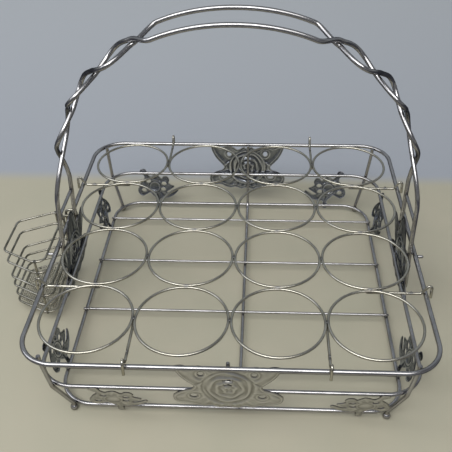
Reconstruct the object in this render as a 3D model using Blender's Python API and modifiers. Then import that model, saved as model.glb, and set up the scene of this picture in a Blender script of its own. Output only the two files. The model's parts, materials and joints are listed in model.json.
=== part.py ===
"""Water cup rack: a welded wire tray with a lift-off grid of cup rings, a waved carrying handle
and a small hang-on basket.

Units are metres, +Z is up. The origin is under the middle of the whole part, on the table.
"""

from math import atan2, cos, pi, radians, sin, sqrt, tan

import bmesh
import bpy
from mathutils import Matrix, Vector

MM = 0.001

# Gaps: welded and resting pieces stay this far apart
SEAT_GAP = 0.3 * MM

# Wire diameters
RIM_WIRE = 4.0 * MM
MIDDLE_WIRE = 3.5 * MM
BASE_WIRE = 3.5 * MM
STRUT_WIRE = 3.5 * MM
UPRIGHT_WIRE = 3.0 * MM
FLOOR_WIRE = 2.5 * MM
HANDLE_WIRE = 4.0 * MM
CROSSBAR_WIRE = 3.0 * MM
RING_WIRE = 2.4 * MM
HOOK_WIRE = 2.4 * MM
PEG_WIRE = 3.0 * MM
BASKET_WIRE = 2.0 * MM
HANGER_WIRE = 2.5 * MM

# Tray: three rounded squares, half widths to the wire's middle
RIM_HALF = 164.0 * MM
MIDDLE_HALF = 156.0 * MM
BASE_HALF = 146.0 * MM
RIM_CORNER = 30.0 * MM
MIDDLE_CORNER = 30.0 * MM
BASE_CORNER = 29.0 * MM
RIM_RISE = 71.0 * MM
MIDDLE_RISE = 35.6 * MM
BASE_HEIGHT = 6.2 * MM
CORNER_STEPS = 5

# Feet: the struts end in balls with a flat underside
FOOT_BALL_R = 3.3 * MM
FOOT_FLAT_R = 2.2 * MM
STRUT_CLEARANCE = 0.5 * MM
STRUT_TOP_ABOVE_RIM = 1.0 * MM
FOOT_STEPS = 5

# Where each strut stands on the rounded corners, as a turn from the side wall's direction
FRONT_LEFT_TURN = radians(62.0)
FRONT_RIGHT_TURN = radians(64.0)
REAR_LEFT_TURN = radians(43.0)
REAR_RIGHT_TURN = radians(57.0)

# Floor
FLOOR_PITCH = 73.3 * MM
FLOOR_COUNT = 4
FLOOR_OVERHANG = 2.0 * MM
CENTRE_WIRE_X = 8.0 * MM
CENTRE_WIRE_BEND = 8.0 * MM
CENTRE_WIRE_LAP = 2.0 * MM
FRONT_UPRIGHT_X = 0.5 * MM
UPRIGHT_ABOVE_RIM = 1.5 * MM
BEND_STEPS = 3

# Cup rings
RING_PITCH = 78.0 * MM
RING_COUNT = 4
RING_ABOVE_RIM = 3.4 * MM
RING_STEPS = 20
HOOK_LEAD_INSIDE = 3.0 * MM
HOOK_CLIMB = radians(60.0)
HOOK_CREST = 9.0 * MM
HOOK_CREST_OUT = 4.2 * MM
HOOK_TAIL_OUT = 4.8 * MM
HOOK_TAIL = 4.0 * MM
HOOK_BEND = 1.5 * MM
HOOK_STEPS = 1

# Handle: an arch on straight legs, its two wires waving apart and crossing
ARCH_CENTRE_ABOVE_RING = 44.4 * MM
ARCH_RISE = 161.4 * MM
ARCH_HALF = 157.9 * MM
ARCH_SHIFT = 1.1 * MM
ARCH_FULLNESS_SHARE = 0.96
WAVE_SHARPNESS_SHARE = 1.5
TOUCH_SHARE = 1.6
WAVE_BULGE = 2.3 * MM
CROSSINGS = (radians(30.4), radians(45.6), radians(60.2), radians(76.7))
CROWN_EASE = radians(7.9)
LEG_SPREAD = 22.5 * MM
LEG_SPREAD_END = 25.5 * MM
LEG_BELOW_MIDDLE = 5.0 * MM
CROWN_STEPS = 4
EASE_STEPS = 3
WAVE_STEPS = 6
LEG_STEPS = 4
CROSSBAR_ABOVE_RING = 30.0 * MM

# Pegs beside the handle
LEFT_PEG_Y = -35.0 * MM
RIGHT_PEG_Y = -29.0 * MM
PEG_REACH = 4.9 * MM
PEG_SIDES = 12

# Stamped plates
PLATE_THICKNESS = 0.8 * MM
FLOWER_WIDTH = 88.0 * MM
FLOWER_HEIGHT = 56.0 * MM
FLOWER_BELOW_RING = 31.0 * MM
REAR_FLOWER_SHIFT = 7.0 * MM
SIDE_FLOWER_BELOW_RING = 30.0 * MM
SIDE_TOP_ABOVE_RING = 18.0 * MM
SIDE_TOP_HALF = 11.0 * MM
ROSETTE_R = 20.0 * MM
ROSETTE_HEIGHT = 3.2 * MM
ROSETTE_OVAL = 1.05
ROSETTE_SIDES = 16
ROSETTE_SLOT_WIDTH = 2.3 * MM
ROSETTE_SLOT_TURNS = (radians(21.0), radians(33.0))
ROSETTE_SLOT_STEPS = 4
LEAF_WIDTH = 48.0 * MM
LEAF_HEIGHT = 44.0 * MM
LEAF_OFFSET = 99.0 * MM
FRONT_LEAF_SHIFT = 8.0 * MM
LEAF_BOSS_R = 6.0 * MM
LEAF_BOSS_HEIGHT = 1.8 * MM
LEAF_BOSS_SIDES = 10

# Basket
BASKET_DEPTH = 64.0 * MM
BASKET_OUT = 42.0 * MM
BASKET_SHOULDER = 12.0 * MM
BASKET_INNER_HALF = 37.0 * MM
BASKET_OUTER_HALF = 22.0 * MM
BASKET_CORNER = 7.0 * MM
BASKET_CORNER_STEPS = 2
BASKET_Y = -7.0 * MM
BASKET_BELOW_RING = 5.0 * MM
BASKET_PEG_GAP = 0.5 * MM
BASKET_UPRIGHT_INSET = 8.5 * MM
HANGER_PITCH = 9.4 * MM
HANGER_BEND = 4.0 * MM
HANGER_TAIL = 6.0 * MM
SLOT_WIDTH = 4.0 * MM
SLOT_LENGTH = 22.0 * MM
SLOT_PITCH = 8.0 * MM
SLOT_COUNT = 7

# Reach to the rear and to the front in the crown, the three waves and the legs of the handle, as
# shares of the legs' spread
REAR_REACH_SHARES = (0.80, 0.58, 0.676, 0.676, 1.0)
FRONT_REACH_SHARES = (0.818, 0.849, 0.898, 0.693, 1.0)

# Heights of the six basket loops, as shares of the basket's depth below the top loop
LOOP_DROP_SHARES = (0.0, 0.21, 0.50, 0.67, 0.85, 1.0)

# Half outline of the flower plate, from its top middle round to its bottom middle, as shares of
# half its width and half its height
FLOWER_SHARES = (
    (0.00, 0.86), (0.10, 0.94), (0.24, 0.82), (0.36, 0.92), (0.50, 0.98), (0.66, 0.93), (0.80, 1.00),
    (0.94, 0.93), (0.90, 0.68), (0.82, 0.44), (0.73, 0.26), (0.65, 0.12), (0.61, 0.02), (0.66, -0.10),
    (0.78, -0.17), (0.90, -0.28), (0.99, -0.42), (1.00, -0.58), (0.96, -0.72), (0.84, -0.81),
    (0.71, -0.80), (0.58, -0.90), (0.44, -0.95), (0.30, -0.92), (0.16, -1.00), (0.00, -0.95),
)

# Holes of the flower plate: middle and half sizes, as shares of half its width and half its height
FLOWER_HOLE_SHARES = (((0.47, 0.63), (0.055, 0.105)), ((0.62, -0.42), (0.07, 0.09)))

# Middles of the slots through the raised middle, as shares of its radius above its own middle
ROSETTE_SLOT_SHARES = (0.545, 0.28)

# Whole outline of the left-hand leaf plate, as shares of half its width and half its height
LEAF_SHARES = (
    (0.08, -1.00), (0.10, -0.66), (0.32, -0.62), (0.56, -0.56), (0.80, -0.42), (1.00, -0.18),
    (0.96, -0.05), (0.76, -0.17), (0.56, -0.28), (0.44, -0.24), (0.62, -0.12), (0.82, 0.06),
    (0.64, 0.16), (0.54, 0.26), (0.57, 0.44), (0.46, 0.62), (0.28, 0.62), (0.18, 0.50),
    (0.06, 0.62), (-0.06, 0.73), (-0.22, 0.68), (-0.36, 0.60), (-0.48, 0.70), (-0.54, 0.86),
    (-0.60, 1.00), (-0.78, 1.00), (-0.88, 0.90), (-0.84, 0.76), (-0.68, 0.64), (-0.68, 0.48),
    (-0.82, 0.30), (-0.92, 0.10), (-1.00, -0.12), (-0.96, -0.36), (-0.78, -0.50), (-0.56, -0.40),
    (-0.40, -0.32), (-0.26, -0.46), (-0.12, -0.64), (-0.12, -1.00),
)
LEAF_HOLE_SHARES = ((0.30, 0.22), (0.26, -0.10), (-0.46, 0.34), (-0.70, -0.16))
LEAF_HOLE_SIZE_SHARES = (0.11, 0.09)
LEAF_BOSS_SHARES = (-0.16, 0.02)
HOLE_SIDES = 8

# Profiles of the raised middles, from edge to middle, as shares of their radius and height
ROSETTE_SHARES = (
    (1.00, 0.00), (0.90, 0.55), (0.78, 0.30), (0.62, 0.80), (0.48, 0.50), (0.30, 1.00), (0.00, 0.85),
)
DOME_SHARES = ((1.00, 0.00), (0.72, 0.75), (0.00, 1.00))

# Colours, roughness and metal of the finishes
BRIGHT_WIRE = ((0.62, 0.62, 0.64, 1.0), 0.16, 1.0)
RING_FINISH = ((0.58, 0.58, 0.59, 1.0), 0.20, 1.0)
PLATE_FINISH = ((0.50, 0.50, 0.51, 1.0), 0.30, 1.0)
BASKET_FINISH = ((0.42, 0.42, 0.41, 1.0), 0.28, 1.0)

# Heights and reaches that follow from the sizes above
BASE_Z = BASE_HEIGHT
MIDDLE_Z = BASE_Z + MIDDLE_RISE
RIM_Z = BASE_Z + RIM_RISE
RING_Z = RIM_Z + RING_ABOVE_RIM
RING_R = (RING_PITCH - RING_WIRE - SEAT_GAP) / 2
HOOK_SEAT = (RIM_WIRE + HOOK_WIRE) / 2 + SEAT_GAP
PEG_OUT = RIM_HALF + RIM_WIRE / 2 + SEAT_GAP + PEG_REACH
BASKET_INNER = PEG_OUT + BASKET_PEG_GAP + BASKET_WIRE / 2
BASKET_OUTER = BASKET_INNER + BASKET_OUT
LEG_X_RIM = RIM_HALF - (RIM_WIRE + HANDLE_WIRE) / 2 - SEAT_GAP
ARCH_FOOT_Z = RING_Z + ARCH_CENTRE_ABOVE_RING
LEG_END_Z = MIDDLE_Z - LEG_BELOW_MIDDLE
LEG_X_MIDDLE = MIDDLE_HALF + (MIDDLE_WIRE + HANDLE_WIRE) / 2 + PLATE_THICKNESS + 2 * SEAT_GAP

# The basket makes the part wider at the left, so the tray stands right of the origin
TRAY_X = (BASKET_OUTER + BASKET_WIRE / 2 - PEG_OUT) / 2


def clear_scene():
    """Remove whatever the scene holds."""
    for obj in list(bpy.data.objects):
        bpy.data.objects.remove(obj, do_unlink=True)


def make_collection(name):
    """A new collection in the scene."""
    group = bpy.data.collections.new(name)
    bpy.context.scene.collection.children.link(group)
    return group


def make_material(name, finish):
    """A metal with the finish's colour, roughness and metallic value."""
    colour, roughness, metallic = finish
    material = bpy.data.materials.new(name)
    material.use_nodes = True
    shader = material.node_tree.nodes["Principled BSDF"]
    shader.inputs["Base Color"].default_value = colour
    shader.inputs["Roughness"].default_value = roughness
    shader.inputs["Metallic"].default_value = metallic
    material.diffuse_color = colour
    return material


def place(name, data, group, finish, matrix=None):
    """Link an object that stands in the tray's own frame, with its own material."""
    obj = bpy.data.objects.new(name, data)
    data.materials.clear()
    data.materials.append(make_material(name + "_metal", finish))
    tray = Matrix.Translation((TRAY_X, 0, 0))
    obj.matrix_world = tray if matrix is None else tray @ matrix
    group.objects.link(obj)
    return obj


def wire_curve(name, points, diameter, closed=False, resolution=1, radii=None):
    """Curve data of a round wire through the points, with filled ends."""
    curve = bpy.data.curves.new(name, "CURVE")
    curve.dimensions = "3D"
    curve.bevel_depth = diameter / 2
    curve.bevel_resolution = resolution
    curve.use_fill_caps = True
    spline = curve.splines.new("POLY")
    spline.points.add(len(points) - 1)
    for index, point in enumerate(points):
        spline.points[index].co = (*point, 1.0)
        if radii:
            spline.points[index].radius = radii[index]
    spline.use_cyclic_u = closed
    return curve


def add_wire(name, points, diameter, group, finish, **options):
    """A wire as its own object."""
    return place(name, wire_curve(name, points, diameter, **options), group, finish)


def arc(centre, across, up, radius, start, end, steps):
    """Points on an arc about centre, in the plane of the two directions."""
    points = []
    for index in range(steps + 1):
        angle = start + (end - start) * index / steps
        points.append(centre + across * (radius * cos(angle)) + up * (radius * sin(angle)))
    return points


def rounded_square(half, corner, height, steps=CORNER_STEPS):
    """Points of a rounded square, anticlockwise from its right side."""
    points = []
    for quarter in range(4):
        turn = Matrix.Rotation(quarter * pi / 2, 3, "Z")
        centre = turn @ Vector((half - corner, half - corner, 0))
        across, up = turn @ Vector((1, 0, 0)), turn @ Vector((0, 1, 0))
        points += arc(centre + Vector((0, 0, height)), across, up, corner, 0, pi / 2, steps)
    return points


def rounded_path(corners, radius, steps, closed=False):
    """Round the corners of a path of straight runs."""
    points = []
    count = len(corners)
    for index, corner in enumerate(corners):
        if not closed and index in (0, count - 1):
            points.append(corner)
            continue
        before = (corners[index - 1] - corner).normalized()
        after = (corners[(index + 1) % count] - corner).normalized()
        half_turn = before.angle(after) / 2
        reach = radius / (sin(half_turn) / cos(half_turn))
        centre = corner + (before + after).normalized() * (radius / sin(half_turn))
        start, end = corner + before * reach - centre, corner + after * reach - centre
        sweep = start.angle(end)
        for step in range(steps + 1):
            share = step / steps
            blend = start * sin((1 - share) * sweep) + end * sin(share * sweep)
            points.append(centre + blend / sin(sweep))
    return points


def to_mesh(obj):
    """Turn a curve object into a welded mesh object in the same place."""
    evaluated = obj.evaluated_get(bpy.context.evaluated_depsgraph_get())
    mesh = bpy.data.meshes.new_from_object(evaluated)
    work = bmesh.new()
    work.from_mesh(mesh)
    bmesh.ops.remove_doubles(work, verts=work.verts, dist=SEAT_GAP / 100)
    bmesh.ops.recalc_face_normals(work, faces=work.faces)
    work.to_mesh(mesh)
    work.free()
    name, matrix = obj.name, obj.matrix_world.copy()
    groups = list(obj.users_collection)
    bpy.data.objects.remove(obj, do_unlink=True)
    solid = bpy.data.objects.new(name, mesh)
    solid.matrix_world = matrix
    for group in groups:
        group.objects.link(solid)
    return solid


def combine(target, tools, cutters, operation):
    """Join or cut the target with the tools, which are kept as wire-drawn guides."""
    for tool in tools:
        boolean = target.modifiers.new(operation.lower(), "BOOLEAN")
        boolean.operation = operation
        boolean.solver = "EXACT"
        boolean.object = tool
        tool.hide_render = True
        tool.display_type = "WIRE"
        for group in list(tool.users_collection):
            group.objects.unlink(tool)
        cutters.objects.link(tool)


def smooth(obj):
    """Shade a round mesh smooth, keeping its sharp edges."""
    obj.data.shade_smooth()
    obj.data.set_sharp_from_angle(angle=radians(40.0))


def build_frames(group):
    """The three rounded-square loops of the tray."""
    loops = (
        ("rim_frame", RIM_HALF, RIM_CORNER, RIM_Z, RIM_WIRE, 2),
        ("middle_frame", MIDDLE_HALF, MIDDLE_CORNER, MIDDLE_Z, MIDDLE_WIRE, 1),
        ("base_frame", BASE_HALF, BASE_CORNER, BASE_Z, BASE_WIRE, 1),
    )
    for name, half, corner, height, diameter, resolution in loops:
        points = rounded_square(half, corner, height)
        add_wire(name, points, diameter, group, BRIGHT_WIRE, closed=True, resolution=resolution)


def build_struts(group):
    """Four corner struts, inside the rim and outside the lower frames, each ending in a foot."""
    inside = (RIM_WIRE + STRUT_WIRE) / 2 + STRUT_CLEARANCE
    outside = (MIDDLE_WIRE + STRUT_WIRE) / 2 + STRUT_CLEARANCE
    stops = ((RIM_HALF, RIM_CORNER, -inside), (MIDDLE_HALF, MIDDLE_CORNER, outside),
             (BASE_HALF, BASE_CORNER, outside))
    ball_z = sqrt(FOOT_BALL_R ** 2 - FOOT_FLAT_R ** 2)
    wire_r = STRUT_WIRE / 2
    neck, flat = asin_share(wire_r / FOOT_BALL_R), pi - asin_share(FOOT_FLAT_R / FOOT_BALL_R)
    ball = [neck + (flat - neck) * index / FOOT_STEPS for index in range(FOOT_STEPS + 1)]
    widths = [1.0] * 4 + [FOOT_BALL_R * sin(angle) / wire_r for angle in ball]
    heights = [RIM_Z + STRUT_TOP_ABOVE_RIM, RIM_Z - RIM_WIRE, MIDDLE_Z, BASE_Z + wire_r]
    heights += [ball_z + FOOT_BALL_R * cos(angle) for angle in ball]
    struts = (("front_left", -1, -1, FRONT_LEFT_TURN), ("front_right", 1, -1, FRONT_RIGHT_TURN),
              ("rear_left", -1, 1, REAR_LEFT_TURN), ("rear_right", 1, 1, REAR_RIGHT_TURN))
    for corner_name, side, depth, turn in struts:
        plan = []
        for half, corner, out in stops:
            reach = corner + out
            plan.append((half - corner + reach * cos(turn), half - corner + reach * sin(turn)))
        plan = plan[:1] * 2 + plan[1:2] + plan[2:] * (len(heights) - 3)
        points = [Vector((side * x, depth * y, z)) for (x, y), z in zip(plan, heights)]
        add_wire("corner_strut_" + corner_name, points, STRUT_WIRE, group, BRIGHT_WIRE, radii=widths)


def asin_share(share):
    """Angle whose sine is the share."""
    return atan2(share, sqrt(1 - share * share))


def upright_path(side_sign, x):
    """Wall points from above the rim down to the base, on the inner side of every frame."""
    at_rim = RIM_HALF - (RIM_WIRE + UPRIGHT_WIRE) / 2 - PLATE_THICKNESS - 2 * SEAT_GAP
    at_middle = MIDDLE_HALF - (MIDDLE_WIRE + UPRIGHT_WIRE) / 2 - SEAT_GAP
    at_base = BASE_HALF - (BASE_WIRE + UPRIGHT_WIRE) / 2 - SEAT_GAP
    levels = ((at_rim, RIM_Z + UPRIGHT_ABOVE_RIM), (at_rim, RIM_Z), (at_middle, MIDDLE_Z),
              (at_base, BASE_Z))
    return [Vector((x, side_sign * out, height)) for out, height in levels]


def build_floor(group):
    """Cross wires on the base, the bent centre wire and the front upright."""
    floor_z = BASE_Z + (BASE_WIRE + FLOOR_WIRE) / 2 + SEAT_GAP
    reach = BASE_HALF + FLOOR_OVERHANG
    for index in range(FLOOR_COUNT):
        y = (index - (FLOOR_COUNT - 1) / 2) * FLOOR_PITCH
        ends = [Vector((-reach, y, floor_z)), Vector((reach, y, floor_z))]
        add_wire(f"floor_wire_{index + 1}", ends, FLOOR_WIRE, group, BRIGHT_WIRE)

    under_z = floor_z - (FLOOR_WIRE + UPRIGHT_WIRE) / 2 - SEAT_GAP
    over_z = BASE_Z + (BASE_WIRE + UPRIGHT_WIRE) / 2 + SEAT_GAP
    wall = upright_path(1, CENTRE_WIRE_X)
    wall[-1].z = under_z
    front_y = -BASE_HALF
    rise = CENTRE_WIRE_BEND + over_z - under_z
    path = wall + [
        Vector((CENTRE_WIRE_X, front_y + 2 * rise, under_z)),
        Vector((CENTRE_WIRE_X, front_y + rise, over_z)),
        Vector((CENTRE_WIRE_X, front_y - CENTRE_WIRE_LAP, over_z)),
    ]
    path = rounded_path(path, CENTRE_WIRE_BEND, BEND_STEPS)
    add_wire("centre_wire", path, UPRIGHT_WIRE, group, BRIGHT_WIRE)
    add_wire("front_upright", upright_path(-1, FRONT_UPRIGHT_X), UPRIGHT_WIRE, group, BRIGHT_WIRE)


def build_rings(group):
    """The sixteen cup rings, side by side in one plane."""
    first = -(RING_COUNT - 1) / 2
    circle = wire_curve("cup_ring", arc(Vector(), Vector((1, 0, 0)), Vector((0, 1, 0)), RING_R,
                                        0, 2 * pi * (RING_STEPS - 1) / RING_STEPS, RING_STEPS - 1),
                        RING_WIRE, closed=True)
    for row in range(RING_COUNT):
        for column in range(RING_COUNT):
            centre = Vector(((first + column) * RING_PITCH, (first + row) * RING_PITCH, RING_Z))
            place(f"cup_ring_{row + 1}{column + 1}", circle.copy(), group, RING_FINISH,
                  Matrix.Translation(centre))
    bpy.data.curves.remove(circle)


def build_hooks(group):
    """Eight wires that run out under the rings, climb past the rim's inner side and hook over it."""
    lead_z = RING_Z - (RING_WIRE + HOOK_WIRE) / 2 - SEAT_GAP
    crest_z = RIM_Z + HOOK_CREST
    at_rim = RIM_HALF - HOOK_SEAT / sin(HOOK_CLIMB)
    spots = (((RING_COUNT / 2 - 0.5) * RING_PITCH - HOOK_LEAD_INSIDE, lead_z),
             (at_rim + (lead_z - RIM_Z) / tan(HOOK_CLIMB), lead_z),
             (at_rim + HOOK_CREST / tan(HOOK_CLIMB), crest_z),
             (RIM_HALF + HOOK_CREST_OUT, crest_z), (RIM_HALF + HOOK_TAIL_OUT, RIM_Z - HOOK_TAIL))
    path = rounded_path([Vector((out, 0, height)) for out, height in spots], HOOK_BEND, HOOK_STEPS)
    walls = (("right", 0), ("rear", 1), ("left", 2), ("front", 3))
    for wall, quarter in walls:
        for number, side in ((1, -1), (2, 1)):
            turn = Matrix.Rotation(quarter * pi / 2, 4, "Z")
            shift = Matrix.Translation((0, side * RING_PITCH, 0))
            place(f"rim_hook_{wall}_{number}", wire_curve("rim_hook", path, HOOK_WIRE), group,
                  RING_FINISH, turn @ shift)


def arch_point(angle, spread, lift):
    """A point of the handle's full arch, moved by spread along Y and by lift away from the middle."""
    side = 1 if angle > 0 else -1
    across = side * ARCH_HALF * abs(sin(angle)) ** ARCH_FULLNESS_SHARE
    height = ARCH_RISE * max(cos(angle), 0.0) ** ARCH_FULLNESS_SHARE
    outward = Vector((sin(angle) / ARCH_HALF, 0, cos(angle) / ARCH_RISE)).normalized()
    return Vector((ARCH_SHIFT + across, spread, ARCH_FOOT_Z + height)) + outward * lift


def leg_spread(height):
    """How far a leg stands from the middle, along Y, at a height below the arch."""
    share = (ARCH_FOOT_Z - height) / (ARCH_FOOT_Z - LEG_END_Z)
    return LEG_SPREAD + (LEG_SPREAD_END - LEG_SPREAD) * share


def handle_wave(angle, side):
    """Spread along Y and lift of one handle wire; side 1 is the rear wire of the crown.

    The wires change sides at each crossing, where each passes over the other in turn."""
    turn = abs(angle)
    passed = sum(turn > crossing for crossing in CROSSINGS)
    nearest, bulge = max(passed, 1), 0
    rear, front = LEG_SPREAD * REAR_REACH_SHARES[passed], LEG_SPREAD * FRONT_REACH_SHARES[passed]
    if passed == 0:
        share = min((CROSSINGS[0] - turn) / CROWN_EASE, 1)
        opened = share * share * (3 - 2 * share)
    elif passed == len(CROSSINGS):
        opened = sin((turn - CROSSINGS[-1]) / (pi / 2 - CROSSINGS[-1]) * pi / 2)
    else:
        start, end = CROSSINGS[passed - 1:passed + 1]
        share = (turn - start) / (end - start)
        opened = sin(pi * share) ** WAVE_SHARPNESS_SHARE
        nearest = passed if share < 0.5 else passed + 1
        bulge = WAVE_BULGE * opened if passed == 2 else 0
    hand = side * (-1) ** passed
    apart = HANDLE_WIRE + SEAT_GAP
    touch = max(1 - (opened * (rear + front) / (TOUCH_SHARE * apart)) ** 2, 0)
    lift = side * (-1) ** nearest * touch * apart / 2
    return opened * (rear if hand > 0 else -front), lift + bulge


def arch_angles():
    """Angles of the arch's points, close together where the wires wave."""
    steps = [(CROSSINGS[0] - CROWN_EASE) / CROWN_STEPS] * CROWN_STEPS
    steps += [CROWN_EASE / EASE_STEPS] * EASE_STEPS
    for start, end in zip(CROSSINGS, CROSSINGS[1:]):
        steps += [(end - start) / WAVE_STEPS] * WAVE_STEPS
    steps += [(pi / 2 - CROSSINGS[-1]) / LEG_STEPS] * LEG_STEPS
    angles = [sum(steps[:count]) for count in range(len(steps) + 1)]
    return [-value for value in reversed(angles[1:])] + angles


def leg_out(side, height):
    """Place along X of the legs on one side at a height between the rim and the arch."""
    foot = side * ARCH_HALF + ARCH_SHIFT
    return foot + (side * LEG_X_RIM - foot) * (ARCH_FOOT_Z - height) / (ARCH_FOOT_Z - RIM_Z)


def build_handle(group):
    """Two crossing wires from leg to leg, and a crossbar between the legs on each side."""
    for name, side in (("handle_wire_rear", 1), ("handle_wire_front", -1)):
        points = []
        for angle in arch_angles():
            spread, lift = handle_wave(angle, side)
            points.append(arch_point(angle, spread, lift))
        left_leg, right_leg = [], []
        for height, x in ((RIM_Z, LEG_X_RIM), (MIDDLE_Z, LEG_X_MIDDLE), (LEG_END_Z, LEG_X_MIDDLE)):
            right_leg.append(Vector((x, side * leg_spread(height), height)))
            left_leg.insert(0, Vector((-x, side * leg_spread(height), height)))
        add_wire(name, left_leg + points + right_leg, HANDLE_WIRE, group, BRIGHT_WIRE, resolution=2)

    bar_z = RING_Z + CROSSBAR_ABOVE_RING
    reach = LEG_SPREAD - HANDLE_WIRE / 2 - SEAT_GAP
    for name, side in (("handle_crossbar_left", -1), ("handle_crossbar_right", 1)):
        ends = [Vector((leg_out(side, bar_z), end * reach, bar_z)) for end in (-1, 1)]
        add_wire(name, ends, CROSSBAR_WIRE, group, BRIGHT_WIRE)


def build_pegs(group):
    """A short peg on the rim's outer side, left and right."""
    start = RIM_HALF + RIM_WIRE / 2 + SEAT_GAP
    for name, side, y in (("side_peg_left", -1, LEFT_PEG_Y), ("side_peg_right", 1, RIGHT_PEG_Y)):
        work = bmesh.new()
        bmesh.ops.create_cone(work, cap_ends=True, segments=PEG_SIDES, radius1=PEG_WIRE / 2,
                              radius2=PEG_WIRE / 2, depth=PEG_REACH)
        mesh = bpy.data.meshes.new(name)
        work.to_mesh(mesh)
        work.free()
        spot = Matrix.Translation((side * (start + PEG_REACH / 2), y, RIM_Z))
        smooth(place(name, mesh, group, BRIGHT_WIRE, spot @ Matrix.Rotation(pi / 2, 4, "Y")))


def outline_curve(name, outline, holes, thickness=PLATE_THICKNESS):
    """A flat sheet with the outline and the holes, in the curve's own XY plane."""
    curve = bpy.data.curves.new(name, "CURVE")
    curve.dimensions = "2D"
    curve.fill_mode = "BOTH"
    curve.extrude = thickness / 2
    for ring in [outline] + holes:
        spline = curve.splines.new("POLY")
        spline.points.add(len(ring) - 1)
        for index, (x, y) in enumerate(ring):
            spline.points[index].co = (x, y, 0, 1)
        spline.use_cyclic_u = True
    return curve


def oval_hole(centre, size):
    """Points of an oval hole."""
    turns = [2 * pi * index / HOLE_SIDES for index in range(HOLE_SIDES)]
    return [(centre[0] + size[0] * cos(turn), centre[1] + size[1] * sin(turn)) for turn in turns]


def flower_outline(top_reach):
    """The flower plate's outline; a top reach above the plate adds the side plates' raised top."""
    half_w, half_h = FLOWER_WIDTH / 2, FLOWER_HEIGHT / 2
    right = [(x * half_w, y * half_h) for x, y in FLOWER_SHARES]
    if top_reach:
        right = side_top(top_reach) + right[3:]
    left = [(-x, y) for x, y in reversed(right[1:-1])]
    return right + left


def side_top(reach):
    """Half outline of the round-topped lobe that stands between the handle's legs."""
    centre = Vector((0, reach - SIDE_TOP_HALF, 0))
    lobe = arc(centre, Vector((0, 1, 0)), Vector((1, 0, 0)), SIDE_TOP_HALF, 0, pi / 2, BEND_STEPS)
    return [(point.x, point.y) for point in lobe]


def rosette_slot(radius, half_turn):
    """Points of a slot that follows the raised middle's oval, up to a turn either side of its top."""
    steps = ROSETTE_SLOT_STEPS
    turns = [half_turn * (2 * index / steps - 1) for index in range(steps + 1)]
    points = []
    for reach in (radius + ROSETTE_SLOT_WIDTH / 2, radius - ROSETTE_SLOT_WIDTH / 2):
        points += [(reach * sin(turn), ROSETTE_OVAL * reach * cos(turn)) for turn in turns]
        turns.reverse()
    return points


def flower_holes():
    """A hole in each wing and in each lower leaf."""
    half_w, half_h = FLOWER_WIDTH / 2, FLOWER_HEIGHT / 2
    holes = []
    for (x, y), (size_x, size_y) in FLOWER_HOLE_SHARES:
        for side in (-1, 1):
            centre = (side * x * half_w, y * half_h)
            holes.append(oval_hole(centre, (size_x * half_w, size_y * half_h)))
    return holes


def turned_boss(name, radius, height, profile_shares, sides, group):
    """A low turned dome that stands on the plate's outer face."""
    work = bmesh.new()
    sunk = -PLATE_THICKNESS / 2
    profile = [Vector((radius * x, 0, height * z)) for x, z in reversed(profile_shares)]
    profile.append(Vector((radius, 0, sunk)))
    profile.append(Vector((0, 0, sunk)))
    verts = [work.verts.new(point) for point in profile]
    for first, second in zip(verts, verts[1:]):
        work.edges.new((first, second))
    mesh = bpy.data.meshes.new(name)
    work.to_mesh(mesh)
    work.free()
    boss = bpy.data.objects.new(name, mesh)
    group.objects.link(boss)
    screw = boss.modifiers.new("turn", "SCREW")
    screw.axis = "Z"
    screw.angle = 2 * pi
    screw.steps = sides
    screw.render_steps = sides
    screw.use_merge_vertices = True
    screw.merge_threshold = SEAT_GAP / 10
    return boss


def add_plate(name, outline, holes, boss_sizes, boss_spot, matrix, group, cutters):
    """A stamped plate: a flat pierced sheet joined with its raised middle."""
    sheet = to_mesh(place(name, outline_curve(name, outline, holes), group, PLATE_FINISH, matrix))
    radius, height, oval, profile_shares, sides = boss_sizes
    boss = turned_boss(name + "_boss", radius, height, profile_shares, sides, group)
    spot = Matrix.Translation(boss_spot) @ Matrix.Diagonal((1, oval, 1, 1))
    boss.matrix_world = sheet.matrix_world @ spot
    combine(sheet, [boss], cutters, "UNION")
    return sheet


def wall_matrix(quarter, along, height, out, lean, mirror=False):
    """Stand a flat plate on a wall: its X runs along the wall, its Y up and its Z outward.

    Quarter 0 is the front wall, 1 the right, 2 the rear and 3 the left."""
    flip = Matrix.Diagonal((-1 if mirror else 1, 1, 1, 1))
    stand = Matrix.Rotation(pi / 2 + lean, 4, "X")
    spot = Matrix.Translation((along, -out, height))
    return Matrix.Rotation(quarter * pi / 2, 4, "Z") @ spot @ stand @ flip


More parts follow.
